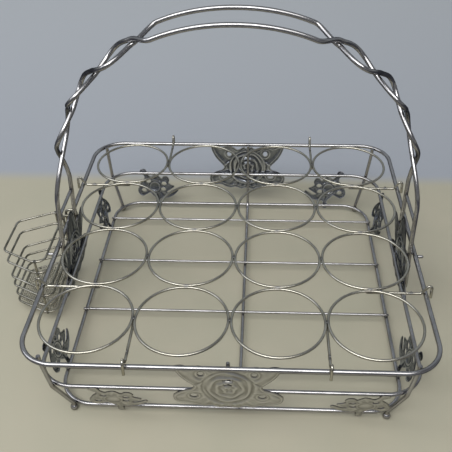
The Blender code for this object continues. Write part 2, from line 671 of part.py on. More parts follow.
def build_flower_plates(group, cutters):
    """A flower plate in the middle of each wall, against the middle frame's outer side."""
    boss = (ROSETTE_R, ROSETTE_HEIGHT, ROSETTE_OVAL, ROSETTE_SHARES, ROSETTE_SIDES)
    at_middle = MIDDLE_HALF + MIDDLE_WIRE / 2 + SEAT_GAP + PLATE_THICKNESS / 2
    rise = RIM_Z - MIDDLE_Z
    front_rim = RIM_HALF - RIM_WIRE / 2 - SEAT_GAP - PLATE_THICKNESS / 2
    side_rim = LEG_X_RIM - HANDLE_WIRE / 2 - SEAT_GAP - PLATE_THICKNESS / 2
    walls = (("front", 0, 0, front_rim, FLOWER_BELOW_RING),
             ("right", 1, 0, side_rim, SIDE_FLOWER_BELOW_RING),
             ("rear", 2, -REAR_FLOWER_SHIFT, front_rim, FLOWER_BELOW_RING),
             ("left", 3, 0, side_rim, SIDE_FLOWER_BELOW_RING))
    for wall, quarter, along, at_rim, below in walls:
        lean = atan2(at_rim - at_middle, rise)
        height = RING_Z - below
        out = at_middle + (height - MIDDLE_Z) * (at_rim - at_middle) / rise
        top = (below + SIDE_TOP_ABOVE_RING) / cos(lean) if quarter % 2 else 0
        matrix = wall_matrix(quarter, along, height, out, lean)
        name = "flower_plate_" + wall
        plate = add_plate(name, flower_outline(top), flower_holes(), boss, Vector(), matrix, group,
                          cutters)
        slots = []
        for share, half_turn in zip(ROSETTE_SLOT_SHARES, ROSETTE_SLOT_TURNS):
            slot = outline_curve(name + "_slot", rosette_slot(share * ROSETTE_R, half_turn), [],
                                 3 * ROSETTE_HEIGHT)
            slots.append(to_mesh(place(name + "_slot", slot, group, PLATE_FINISH, matrix)))
        combine(plate, slots, cutters, "DIFFERENCE")


def build_leaf_plates(group, cutters):
    """Two leaf plates on each wall, against the middle and base frames."""
    half_w, half_h = LEAF_WIDTH / 2, LEAF_HEIGHT / 2
    outline = [(x * half_w, y * half_h) for x, y in LEAF_SHARES]
    size = (LEAF_HOLE_SIZE_SHARES[0] * half_w, LEAF_HOLE_SIZE_SHARES[1] * half_h)
    holes = [oval_hole((x * half_w, y * half_h), size) for x, y in LEAF_HOLE_SHARES]
    boss = (LEAF_BOSS_R, LEAF_BOSS_HEIGHT, 1, DOME_SHARES, LEAF_BOSS_SIDES)
    boss_spot = Vector((LEAF_BOSS_SHARES[0] * half_w, LEAF_BOSS_SHARES[1] * half_h, 0))
    clear = MIDDLE_WIRE / 2 + SEAT_GAP + PLATE_THICKNESS / 2
    lean = atan2(MIDDLE_HALF - BASE_HALF, MIDDLE_Z - BASE_Z)
    height = (MIDDLE_Z + BASE_Z) / 2
    out = (MIDDLE_HALF + BASE_HALF) / 2 + clear / cos(lean)
    walls = (("front", 0, FRONT_LEAF_SHIFT), ("right", 1, 0), ("rear", 2, 0), ("left", 3, 0))
    for wall, quarter, shift in walls:
        for number, side in ((1, -1), (2, 1)):
            matrix = wall_matrix(quarter, side * LEAF_OFFSET + shift, height, out, lean, side > 0)
            add_plate(f"leaf_plate_{wall}_{number}", outline, holes, boss, boss_spot, matrix,
                      group, cutters)


def basket_corners(inset=0.0):
    """Corners of a basket loop in plan, from the tray's side out to the left and back."""
    half_in, half_out = BASKET_INNER_HALF - inset, BASKET_OUTER_HALF - inset
    inner, shoulder = -(BASKET_INNER + inset), -(BASKET_INNER + BASKET_SHOULDER)
    outer = -(BASKET_OUTER - inset)
    plan = ((inner, -half_in), (inner, half_in), (shoulder, half_in), (outer, half_out),
            (outer, -half_out), (shoulder, -half_in))
    return [(x, y + BASKET_Y) for x, y in plan]


def build_basket(group, cutters):
    """The basket's cage and floor, and two wires that hang it over the rim beside a handle leg."""
    top_z = RING_Z - BASKET_BELOW_RING
    bottom_z = top_z - BASKET_DEPTH
    loops = []
    for number, share in enumerate(LOOP_DROP_SHARES):
        height = top_z - BASKET_DEPTH * share
        corners = [Vector((x, y, height)) for x, y in basket_corners()]
        points = rounded_path(corners, BASKET_CORNER, BASKET_CORNER_STEPS, closed=True)
        loops.append(add_wire(f"basket_loop_{number + 1}", points, BASKET_WIRE, group, BASKET_FINISH,
                              closed=True))
    posts = []
    for side in (-1, 1):
        x = -(BASKET_INNER + BASKET_UPRIGHT_INSET)
        y = BASKET_Y + side * (BASKET_INNER_HALF + BASKET_WIRE / 5)
        ends = [Vector((x, y, bottom_z - BASKET_WIRE)), Vector((x, y, top_z + BASKET_WIRE))]
        posts.append(add_wire("basket_post", ends, BASKET_WIRE, group, BASKET_FINISH))
    cage, *rest = [to_mesh(piece) for piece in posts + loops]
    cage.name = "basket_cage"
    combine(cage, rest, cutters, "UNION")

    plate_z = bottom_z + BASKET_WIRE / 2 + SEAT_GAP + PLATE_THICKNESS / 2
    slots = []
    for index in range(SLOT_COUNT):
        y = BASKET_Y + (index - (SLOT_COUNT - 1) / 2) * SLOT_PITCH
        x = -(BASKET_INNER + BASKET_OUT / 2)
        half_l, half_w = SLOT_LENGTH / 2, SLOT_WIDTH / 2
        slots.append([(x - half_l, y - half_w), (x + half_l, y - half_w), (x + half_l, y + half_w),
                      (x - half_l, y + half_w)])
    floor = outline_curve("basket_floor", basket_corners(BASKET_WIRE + SEAT_GAP), slots)
    to_mesh(place("basket_floor", floor, group, BASKET_FINISH, Matrix.Translation((0, 0, plate_z))))

    outside = -(BASKET_INNER - (BASKET_WIRE + HANGER_WIRE) / 2 - SEAT_GAP)
    crest = RIM_Z + (RIM_WIRE + HANGER_WIRE) / 2 + SEAT_GAP
    for name, side in (("basket_hanger_front", -1), ("basket_hanger_rear", 1)):
        y = leg_spread(RIM_Z) + side * HANGER_PITCH / 2
        corners = [Vector((outside, y, bottom_z)), Vector((outside, y, crest)),
                   Vector((-LEG_X_RIM, y, crest)), Vector((-LEG_X_RIM, y, RIM_Z - HANGER_TAIL))]
        add_wire(name, rounded_path(corners, HANGER_BEND, BEND_STEPS), HANGER_WIRE, group, BASKET_FINISH)


def main():
    """Build the whole rack."""
    clear_scene()
    group = make_collection("water_cup_rack")
    cutters = make_collection("cutters")
    build_frames(group)
    build_struts(group)
    build_floor(group)
    build_handle(group)
    build_pegs(group)
    build_flower_plates(group, cutters)
    build_leaf_plates(group, cutters)
    build_rings(group)
    build_hooks(group)
    build_basket(group, cutters)


main()
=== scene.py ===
"""Water cup rack: a welded stainless wire tray with a lift-off grid of cup rings, a carrying
handle of two crossing wires, stamped flower and leaf plates, and a small hang-on basket.

Blender 4.5, metres, +Z up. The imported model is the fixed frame; this script gives it its looks.
"""

import json
import logging
from dataclasses import dataclass, field
from enum import Enum
from functools import cached_property, partial
from math import atan2, cos, exp, pi, radians, sin, sqrt, tan

import bmesh
import bpy
import numpy as np
from mathutils import Matrix, Vector
from mathutils.geometry import delaunay_2d_cdt
from mathutils.kdtree import KDTree

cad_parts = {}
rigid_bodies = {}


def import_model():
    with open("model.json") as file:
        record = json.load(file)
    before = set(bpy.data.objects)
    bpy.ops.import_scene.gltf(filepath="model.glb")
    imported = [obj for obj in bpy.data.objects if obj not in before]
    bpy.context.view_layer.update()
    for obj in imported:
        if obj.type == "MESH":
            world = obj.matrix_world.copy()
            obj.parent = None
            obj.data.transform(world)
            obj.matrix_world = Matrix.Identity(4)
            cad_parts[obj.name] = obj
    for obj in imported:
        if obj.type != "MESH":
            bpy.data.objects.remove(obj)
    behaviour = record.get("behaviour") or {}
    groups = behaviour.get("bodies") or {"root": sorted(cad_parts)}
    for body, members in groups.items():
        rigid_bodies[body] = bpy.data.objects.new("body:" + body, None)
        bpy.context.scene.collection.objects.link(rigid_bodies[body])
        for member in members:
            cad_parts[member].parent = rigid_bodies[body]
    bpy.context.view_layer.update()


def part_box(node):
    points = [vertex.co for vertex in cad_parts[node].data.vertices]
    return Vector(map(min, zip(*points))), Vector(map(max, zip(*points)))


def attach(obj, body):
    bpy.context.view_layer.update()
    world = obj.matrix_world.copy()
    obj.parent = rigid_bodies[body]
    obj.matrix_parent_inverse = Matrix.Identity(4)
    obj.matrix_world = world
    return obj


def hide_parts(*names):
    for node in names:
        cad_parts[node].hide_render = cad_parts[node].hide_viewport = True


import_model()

LOG = logging.getLogger("water_cup_rack")
MM = 0.001
PHOTO_PIXELS = 452
LONGEST_CHORD = 2.4 * MM
Path = list[Vector]
Node = bpy.types.Node


class Body(Enum):
    """The three bodies of the rack."""

    FRAME = "frame"
    RING_GRID = "ring_grid"
    BASKET = "basket"


class Slot(Enum):
    """Material slots of the record."""

    BRIGHT_WIRE = "bright_wire"
    RING_WIRE = "ring_wire"
    STAMPED_PLATE = "stamped_plate"
    BASKET_WIRE = "basket_wire"


class Wall(Enum):
    """The four walls of the tray, by their quarter turn about Z."""

    FRONT = 0
    RIGHT = 1
    REAR = 2
    LEFT = 3


# Finishes


def linear(code: str) -> tuple[float, float, float, float]:
    """Turn an sRGB hex colour such as "#a0a4a8" into linear red, green and blue, and an alpha of 1."""
    parts = [int(code[index:index + 2], 16) / 255 for index in (1, 3, 5)]
    return (*(part / 12.92 if part <= 0.04045 else ((part + 0.055) / 1.055) ** 2.4 for part in parts), 1.0)


def connect(node: Node, inputs: dict) -> Node:
    """Give inputs of a node their values and links.

    Args:
        node: The node.
        inputs: By the input's name or number, its value or source; a node stands for its first output.

    Returns:
        The same node.
    """
    for key, value in inputs.items():
        source = value.outputs[0] if isinstance(value, Node) else value
        if isinstance(source, bpy.types.NodeSocket):
            node.id_data.links.new(source, node.inputs[key])
        else:
            node.inputs[key].default_value = source
    return node


def add_node(tree: bpy.types.NodeTree, kind: str, inputs: dict | None = None, **settings) -> Node:
    """Add a node with its settings, values and links.

    Args:
        tree: Tree that takes the node.
        kind: Type name of the node.
        inputs: Value or source of each input, as connect takes them.
        settings: Attributes of the node itself.

    Returns:
        The new node.
    """
    node = tree.nodes.new(kind)
    for name, value in settings.items():
        setattr(node, name, value)
    return connect(node, inputs or {})


def ramp(factor: Node | bpy.types.NodeSocket, *stops: tuple[float, str]) -> Node:
    """Colours along a factor.

    Args:
        factor: Driving value, or a node whose first output it is.
        stops: Place and hex colour of each stop.

    Returns:
        The node, whose first output is the colour.
    """
    node = add_node(factor.id_data, "ShaderNodeValToRGB", {"Fac": factor})
    elements = node.color_ramp.elements
    while len(elements) < len(stops):
        elements.new(0.5)
    for element, (place, code) in zip(elements, stops):
        element.position = place
        element.color = linear(code)
    return node


def new_material(name: str) -> tuple[bpy.types.Material, partial, Node]:
    """Start a material.

    Args:
        name: Name of the material.

    Returns:
        The material, the function that adds nodes to its tree, and its Principled shader.
    """
    material = bpy.data.materials.new(name)
    material.use_nodes = True
    tree = material.node_tree
    return material, partial(add_node, tree), tree.nodes["Principled BSDF"]


@dataclass(frozen=True)
class DrawnSteel:
    """Stainless wire, cold drawn through a die and electropolished.

    The die leaves fine lines along the wire and the polish a bright, slightly hazy face. Spot
    welding leaves a straw and blue stain beside each joint, and hands leave soft smudges.
    The real lines are finer than 0.05 mm; they are drawn 0.25 mm apart so that they show.
    """

    name: str = "bright_drawn_stainless_wire"
    polished: str = "#b9b8b8"
    smudged: str = "#a09f9f"
    edge: str = "#8a8c90"
    straw: str = "#8d8272"
    blued: str = "#5d6068"
    roughness: float = 0.17
    smudge_roughness: float = 0.26
    stain_cover: float = 0.75
    line_pitch: float = 0.25 * MM
    line_length: float = 9.0 * MM
    line_depth: float = 0.0015 * MM
    smudge_size: float = 22.0 * MM

    def material(self) -> bpy.types.Material:
        """Build the material.

        Returns:
            The material.
        """
        material, node, shader = new_material(self.name)
        along = node("ShaderNodeAttribute", attribute_name="wire_run").outputs["Fac"]
        across = node("ShaderNodeAttribute", attribute_name="profile_place").outputs["Vector"]
        run = node("ShaderNodeMath", {0: along, 1: self.line_pitch / self.line_length}, operation="MULTIPLY")
        lay = node("ShaderNodeVectorMath", {0: across, 1: node("ShaderNodeCombineXYZ", {"Z": run})})
        lines = node("ShaderNodeTexNoise", {"Vector": lay, "Scale": 1 / self.line_pitch, "Detail": 2.0})
        place = node("ShaderNodeTexCoord").outputs["Object"]
        smudges = node("ShaderNodeTexNoise", {"Vector": place, "Scale": 1 / self.smudge_size, "Detail": 5.0,
                                              "Roughness": 0.62})
        stain = node("ShaderNodeAttribute", attribute_name="weld_heat").outputs["Fac"]
        clean = ramp(smudges, (0.36, self.polished), (0.68, self.smudged))
        heat = ramp(stain, (0.25, self.straw), (0.75, self.blued))
        cover = node("ShaderNodeMapRange", {"Value": stain, "To Max": self.stain_cover})
        tint = node("ShaderNodeMix", {0: cover, 6: clean, 7: heat}, data_type="RGBA")
        haze = node("ShaderNodeMapRange", {"Value": smudges, "From Min": 0.38, "From Max": 0.7,
                                           "To Min": self.roughness, "To Max": self.smudge_roughness})
        bump = node("ShaderNodeBump", {"Height": lines, "Distance": self.line_depth, "Strength": 1.0})
        connect(shader, {"Metallic": 1.0, "Specular Tint": linear(self.edge), "Base Color": tint.outputs[2],
                         "Roughness": haze, "Normal": bump})
        return material


@dataclass(frozen=True)
class StampedSheet:
    """Thin stainless sheet, cold rolled, blanked and pressed into relief.

    Rolling leaves a fine grain along the sheet. The outer side is buffed to a pale satin, and its hollows
    are rougher. The colour is painted shade and painted highlight: darker in the hollows and lighter on
    the ridges, on both sides. The inner side is left as rolled, so it mirrors more sharply, and its colour
    is painted darker overall as painted shade. The cut walls of the edges and holes are painted dark as
    shade in the slots and holes. The real grain is finer than 0.05 mm; it is drawn 0.3 mm apart so that
    it shows.
    """

    name: str = "stamped_stainless_sheet"
    # Painted highlight and shade: the raised colour is lighter and the hollow colour darker than the face colour.
    highlit_raised: str = "#d2d1cd"
    face: str = "#c2c1bc"
    shaded_hollow: str = "#a5a39c"
    # Painted shade: the inner colours are darker overall than the outer ones; the inner raised colour is a painted
    # highlight on the ridges.
    highlit_inner_raised: str = "#cdd0d5"
    shaded_inner_face: str = "#93979d"
    shaded_inner_hollow: str = "#5a5e64"
    # Painted shade: the sheared colour darkens the cut walls of the edges and holes.
    sheared: str = "#55555a"
    edge: str = "#9a9b9e"
    roughness: float = 0.34
    hollow_roughness: float = 0.5
    inner_roughness_share: float = 0.5
    grain_pitch: float = 0.3 * MM
    grain_length: float = 5.0 * MM
    grain_depth: float = 0.012 * MM
    patina_size: float = 9.0 * MM
    patina_share: float = 0.14

    def material(self) -> bpy.types.Material:
        """Build the material.

        Returns:
            The material.
        """
        material, node, shader = new_material(self.name)
        sheet = node("ShaderNodeUVMap", uv_map="sheet")
        lay = node("ShaderNodeMapping", {"Vector": sheet, "Scale": (1 / self.grain_length, 1 / self.grain_pitch, 1.0)})
        grain = node("ShaderNodeTexNoise", {"Vector": lay, "Scale": 1.0, "Detail": 3.0})
        relief, inner, cut = (node("ShaderNodeAttribute", attribute_name=name).outputs["Fac"]
                              for name in ("relief", "inner_side", "shaded_cut_wall"))
        place = node("ShaderNodeTexCoord").outputs["Object"]
        patina = node("ShaderNodeTexNoise", {"Vector": place, "Scale": 1 / self.patina_size, "Detail": 6.0,
                                             "Roughness": 0.6})
        worn = node("ShaderNodeMapRange", {"Value": patina, "From Min": 0.3, "From Max": 0.7,
                                           "To Min": -self.patina_share, "To Max": self.patina_share})
        # Painted shade and highlight: relief is low in hollows and high on ridges; the patina noise adds a random
        # tone.
        relief_shade_and_patina = node("ShaderNodeMath", {0: relief, 1: worn}, operation="ADD")
        buffed = ramp(relief_shade_and_patina, (0.12, self.shaded_hollow), (0.5, self.face), (0.88, self.highlit_raised))
        # Painted shade and highlight on the inner side, which is also painted darker overall.
        inner_shade_and_highlight = ramp(relief_shade_and_patina, (0.15, self.shaded_inner_hollow), (0.5, self.shaded_inner_face), (0.85, self.highlit_inner_raised))
        pressed = node("ShaderNodeMix", {0: inner, 6: buffed, 7: inner_shade_and_highlight}, data_type="RGBA").outputs[2]
        # Painted shade: the cut walls take the dark sheared colour.
        colour = node("ShaderNodeMix", {0: cut, 6: pressed, 7: linear(self.sheared)}, data_type="RGBA").outputs[2]
        dull = node("ShaderNodeMapRange", {"Value": relief_shade_and_patina, "From Min": 0.1, "From Max": 0.8,
                                           "To Min": self.hollow_roughness, "To Max": self.roughness})
        share = node("ShaderNodeMapRange", {"Value": inner, "To Min": 1.0, "To Max": self.inner_roughness_share})
        rough = node("ShaderNodeMath", {0: dull, 1: share}, operation="MULTIPLY")
        bump = node("ShaderNodeBump", {"Height": grain, "Distance": self.grain_depth, "Strength": 1.0})
        connect(shader, {"Metallic": 1.0, "Specular Tint": linear(self.edge), "Base Color": colour,
                         "Roughness": rough, "Normal": bump})
        return material


@dataclass(frozen=True)
class WeldBead:
    """Resistance weld squeezed out between two wires and brushed.

    The metal has melted and set, so it is rough, a little darker than the wire, and stained.
    """

    name: str = "brushed_spot_weld"
    bright: str = "#a3a3a2"
    stained: str = "#64615c"
    roughness: float = 0.36
    ripple_size: float = 0.7 * MM
    ripple_depth: float = 0.05 * MM

    def material(self) -> bpy.types.Material:
        """Build the material.

        Returns:
            The material.
        """
        material, node, shader = new_material(self.name)
        place = node("ShaderNodeTexCoord").outputs["Object"]
        ripple = node("ShaderNodeTexNoise", {"Vector": place, "Scale": 1 / self.ripple_size, "Detail": 3.0})
        bump = node("ShaderNodeBump", {"Height": ripple, "Distance": self.ripple_depth, "Strength": 1.0})
        connect(shader, {"Metallic": 1.0, "Roughness": self.roughness, "Normal": bump,
                         "Base Color": ramp(ripple, (0.35, self.stained), (0.65, self.bright))})
        return material


@dataclass(frozen=True)
class PaleTable:
    """A plain pale table top, sprayed in satin paint, cooler in tone further back.

    The metal mirrors it as a real table of limited size, with a dim room beyond its edge.
    """

    name: str = "pale_satin_table"
    near: str = "#b1ac98"
    mottle: str = "#aba894"
    back_edge: str = "#9fa4ab"
    far: str = "#c3c8cb"
    beyond: str = "#505159"
    roughness: float = 0.55
    mottle_size: float = 90.0 * MM
    cool_from: float = 196.0 * MM
    cool_to: float = 226.0 * MM
    far_at: float = 1000.0 * MM
    edge_from: float = 250.0 * MM
    edge_to: float = 360.0 * MM

    def material(self) -> bpy.types.Material:
        """Build the material.

        Returns:
            The material.
        """
        material, node, shader = new_material(self.name)
        place = node("ShaderNodeTexCoord").outputs["Object"]
        mottle = node("ShaderNodeTexNoise", {"Vector": place, "Scale": 1 / self.mottle_size, "Detail": 3.0})
        warm = ramp(mottle, (0.35, self.near), (0.7, self.mottle))
        depth = node("ShaderNodeSeparateXYZ", {0: place}).outputs["Y"]
        back = node("ShaderNodeMapRange", {"Value": depth, "From Min": self.cool_from, "From Max": self.cool_to},
                    interpolation_type="SMOOTHSTEP")
        away = node("ShaderNodeMapRange", {"Value": depth, "From Min": self.cool_to, "From Max": self.far_at})
        cool = ramp(away, (0.0, self.back_edge), (1.0, self.far))
        tone = node("ShaderNodeMix", {0: back, 6: warm, 7: cool}, data_type="RGBA").outputs[2]
        out = node("ShaderNodeVectorMath", {0: place}, operation="LENGTH").outputs["Value"]
        edge = node("ShaderNodeMapRange", {"Value": out, "From Min": self.edge_from, "From Max": self.edge_to},
                    interpolation_type="SMOOTHSTEP")
        mirrored = node("ShaderNodeLightPath").outputs["Is Glossy Ray"]
        past = node("ShaderNodeMath", {0: edge, 1: mirrored}, operation="MULTIPLY")
        seen = node("ShaderNodeMix", {0: past, 6: tone, 7: linear(self.beyond)}, data_type="RGBA")
        connect(shader, {"Roughness": self.roughness, "Base Color": seen.outputs[2]})
        return material


# Geometry Nodes


class PieceTree:
    """Geometry Nodes with named inputs, whose result is smooth, real geometry in its finish."""

    name: str
    inputs: tuple[tuple[str, str], ...]

    def __init__(self) -> None:
        """Make the tree, its inputs, what it grows and its closing nodes."""
        self.tree = bpy.data.node_groups.new(self.name, "GeometryNodeTree")
        face = self.tree.interface
        kinds = (("Start", "Geometry"), *self.inputs, ("Finish", "Material"))
        self.sockets = {name: face.new_socket(name, in_out="INPUT", socket_type="NodeSocket" + kind).identifier
                        for name, kind in kinds}
        face.new_socket("Mesh", in_out="OUTPUT", socket_type="NodeSocketGeometry")
        self.node = partial(add_node, self.tree)
        self.given = self.node("NodeGroupInput").outputs
        smooth = self.node("GeometryNodeSetShadeSmooth", {"Geometry": self.growth()})
        real = self.node("GeometryNodeRealizeInstances", {"Geometry": smooth})
        dressed = self.node("GeometryNodeSetMaterial", {"Geometry": real, "Material": self.given["Finish"]})
        self.node("NodeGroupOutput", {0: dressed})

    def growth(self) -> Node:
        """What the tree makes; each tree below says how."""
        raise NotImplementedError

    def half(self, name: str) -> Node:
        """Half of an input."""
        return self.node("ShaderNodeMath", {0: self.given[name], 1: 0.5}, operation="MULTIPLY")

    def swept(self, path: Node | bpy.types.NodeSocket, more: dict | None = None) -> Node:
        """Sweep a round section along a path, and keep on it the places that drawn steel reads.

        Args:
            path: The path.
            more: Further inputs of the sweep.

        Returns:
            The node of the swept wire.
        """
        node, given = self.node, self.given
        length = node("GeometryNodeSplineParameter").outputs["Length"]
        run = node("GeometryNodeStoreNamedAttribute", {"Geometry": path, "Name": "wire_run", "Value": length})
        circle = node("GeometryNodeCurvePrimitiveCircle", {"Resolution": given["Sides"],
                                                           "Radius": self.half("Diameter")})
        section = node("GeometryNodeStoreNamedAttribute", data_type="FLOAT_VECTOR", inputs={
            "Geometry": circle, "Name": "profile_place", "Value": node("GeometryNodeInputPosition")})
        return node("GeometryNodeCurveToMesh", {"Curve": run, "Profile Curve": section, **(more or {})})

    def grown(self, start: bpy.types.ID, values: dict[str, object]) -> bpy.types.Mesh:
        """Run the tree and return its result as a plain mesh.

        Args:
            start: Curve or mesh to start from; it is removed afterwards.
            values: Value of each input, by its name.

        Returns:
            The mesh.
        """
        source = bpy.data.objects.new(start.name, start)
        bpy.context.scene.collection.objects.link(source)
        grow = source.modifiers.new("grow", "NODES")
        grow.node_group = self.tree
        for name, value in values.items():
            grow[self.sockets[name]] = value
        mesh = bpy.data.meshes.new_from_object(source.evaluated_get(bpy.context.evaluated_depsgraph_get()))
        bpy.data.objects.remove(source, do_unlink=True)
        bpy.data.batch_remove([start])
        return mesh


class DrawnWireTree(PieceTree):
    """Sweeps a round section along every spline of a curve."""

    name = "drawn_wire"
    inputs = (("Diameter", "Float"), ("Sides", "Int"))

    def growth(self) -> Node:
        """Wires with closed ends, as thick at each point as the curve says."""
        return self.swept(self.given["Start"], {"Scale": self.node("GeometryNodeInputRadius"), "Fill Caps": True})


class RingGridTree(PieceTree):
    """Stands one wire ring, turned by chance, on every point of a square grid."""

    name = "ring_grid"
    inputs = (("Count", "Int"), ("Pitch", "Float"), ("Ring Radius", "Float"), ("Diameter", "Float"),
              ("Steps", "Int"), ("Sides", "Int"), ("Centre", "Vector"), ("Seed", "Int"))

    def growth(self) -> Node:
        """Grow the rings.

        Returns:
            The node of the rings in their place.
        """
        node, given = self.node, self.given
        gaps = node("ShaderNodeMath", {0: given["Count"], 1: 1.0}, operation="SUBTRACT")
        side = node("ShaderNodeMath", {0: gaps, 1: given["Pitch"]}, operation="MULTIPLY")
        grid = node("GeometryNodeMeshGrid", {"Size X": side, "Size Y": side,
                                             "Vertices X": given["Count"], "Vertices Y": given["Count"]})
        loop = node("GeometryNodeCurvePrimitiveCircle", {"Resolution": given["Steps"], "Radius": given["Ring Radius"]})
        turn = node("FunctionNodeRandomValue", {"Min": (0.0, 0.0, 0.0), "Max": (0.0, 0.0, 2 * pi),
                                                "Seed": given["Seed"]}, data_type="FLOAT_VECTOR")
        rings = node("GeometryNodeInstanceOnPoints", {"Points": grid, "Instance": self.swept(loop), "Rotation": turn})
        return node("GeometryNodeTransform", {"Geometry": rings, "Translation": given["Centre"]})


class WeldTree(PieceTree):
    """Sets a small squeezed bead of weld metal on every point."""

    name = "weld_beads"
    inputs = (("Bead Size", "Float"), ("Spread", "Float"), ("Seed", "Int"))

    def growth(self) -> Node:
        """Grow the beads, squeezed and turned by chance.

        Returns:
            The node of the beads in their places.
        """
        node, given = self.node, self.given
        bead = node("GeometryNodeMeshIcoSphere", {"Radius": self.half("Bead Size"), "Subdivisions": 2})
        least, most = (node("ShaderNodeMath", {0: 1.0, 1: given["Spread"]}, operation=way)
                       for way in ("SUBTRACT", "ADD"))
        size, turn = (node("FunctionNodeRandomValue", {"Min": low, "Max": high, "Seed": given["Seed"]},
                           data_type="FLOAT_VECTOR")
                      for low, high in ((least, most), ((0.0, 0.0, 0.0), (pi, pi, pi))))
        return node("GeometryNodeInstanceOnPoints", {"Points": given["Start"], "Instance": bead,
                                                     "Rotation": turn, "Scale": size})


# Paths and sizes


def rounded_path(corners: Path, radius: float, steps: int, closed: bool = False) -> Path:
    """Round the corners of a path of straight runs.

    Args:
        corners: Corner points.
        radius: Bend radius to the wire's middle.
        steps: Chords of each bend.
        closed: Whether the last corner meets the first.

    Returns:
        The points of the bent path.
    """
    points: Path = []
    count = len(corners)
    for index, corner in enumerate(corners):
        if not closed and index in (0, count - 1):
            points.append(corner)
            continue
        before = (corners[index - 1] - corner).normalized()
        after = (corners[(index + 1) % count] - corner).normalized()
        half_turn = before.angle(after) / 2
        reach = radius * cos(half_turn) / sin(half_turn)
        centre = corner + (before + after).normalized() * (radius / sin(half_turn))
        start, end = corner + before * reach - centre, corner + after * reach - centre
        sweep = start.angle(end)
        for step in range(steps + 1):
            share = step / steps
            points.append(centre + (start * sin((1 - share) * sweep) + end * sin(share * sweep)) / sin(sweep))
    return points


def fill_runs(points: Path, longest: float, closed: bool = False) -> Path:
    """Add points so that no chord is longer than a given length.

    Args:
        points: The path.
        longest: Longest chord.
        closed: Whether the last point meets the first.

    Returns:
        The filled path.
    """
    filled: Path = []
    for first, second in zip(points, points[1:] + points[:1] if closed else points[1:]):
        pieces = max(1, round((second - first).length / longest))
        filled += [first.lerp(second, step / pieces) for step in range(pieces)]
    return filled if closed else filled + [points[-1]]


@dataclass
class Wire:
    """One wire: its path, its diameter and how its ends are cut."""

    points: Path
    diameter: float
    closed: bool = False
    widths: list[float] | None = None
    end_cut_share: float = 0.16
    end_width_share: float = 0.72

    def spline(self, curve: bpy.types.Curve, longest: float) -> None:
        """Add the wire to a curve as one spline, with its sheared ends slightly rounded.

        Args:
            curve: Curve that takes the spline.
            longest: Longest chord.
        """
        points, widths = self.points, self.widths
        if widths is None:
            points = fill_runs(points, longest, self.closed)
            widths = [1.0] * len(points)
            if not self.closed:
                cut = self.diameter * self.end_cut_share
                first = points[0] + (points[1] - points[0]).normalized() * cut
                last = points[-1] + (points[-2] - points[-1]).normalized() * cut
                points = [points[0], first, *points[1:-1], last, points[-1]]
                widths = [self.end_width_share, *widths, self.end_width_share]
        spline = curve.splines.new("POLY")
        spline.points.add(len(points) - 1)
        for point, place, width in zip(spline.points, points, widths):
            point.co = (*place, 1.0)
            point.radius = width
        spline.use_cyclic_u = self.closed


@dataclass
class RackSizes:
    """Driving sizes of the rack, as in the construction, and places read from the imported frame."""

    rim_wire: float = 4.0 * MM
    middle_wire: float = 3.5 * MM
    base_wire: float = 3.5 * MM
    strut_wire: float = 3.5 * MM
    upright_wire: float = 3.0 * MM
    floor_wire: float = 2.5 * MM
    handle_wire: float = 4.0 * MM
    crossbar_wire: float = 3.0 * MM
    ring_wire: float = 2.4 * MM
    hook_wire: float = 2.4 * MM
    peg_wire: float = 3.0 * MM
    basket_wire: float = 2.0 * MM
    hanger_wire: float = 2.5 * MM
    plate: float = 0.8 * MM
    gap: float = 0.3 * MM
    ring_count: int = 4

    def __post_init__(self) -> None:
        """Read the loops' half widths to the wire's middle, the heights and the ring pitch."""
        loops = (("rim_frame", self.rim_wire), ("middle_frame", self.middle_wire), ("base_frame", self.base_wire))
        self.rim_half, self.middle_half, self.base_half = (
            (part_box(name)[1].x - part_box(name)[0].x - wire) / 2 for name, wire in loops)
        self.rim_z, self.middle_z, self.base_z, self.ring_z = (
            self.centre(name).z for name in ("rim_frame", "middle_frame", "base_frame", "cup_ring_11"))
        self.ring_pitch = (self.centre("cup_ring_14").x - self.centre("cup_ring_11").x) / (self.ring_count - 1)
        self.tray = Vector((*self.centre("rim_frame").xy, 0.0))
        self.leg_x = self.rim_half - (self.rim_wire + self.handle_wire) / 2 - self.gap

    def centre(self, node: str) -> Vector:
        """Middle of a node's box."""
        low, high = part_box(node)
        return (low + high) / 2


# Making pieces


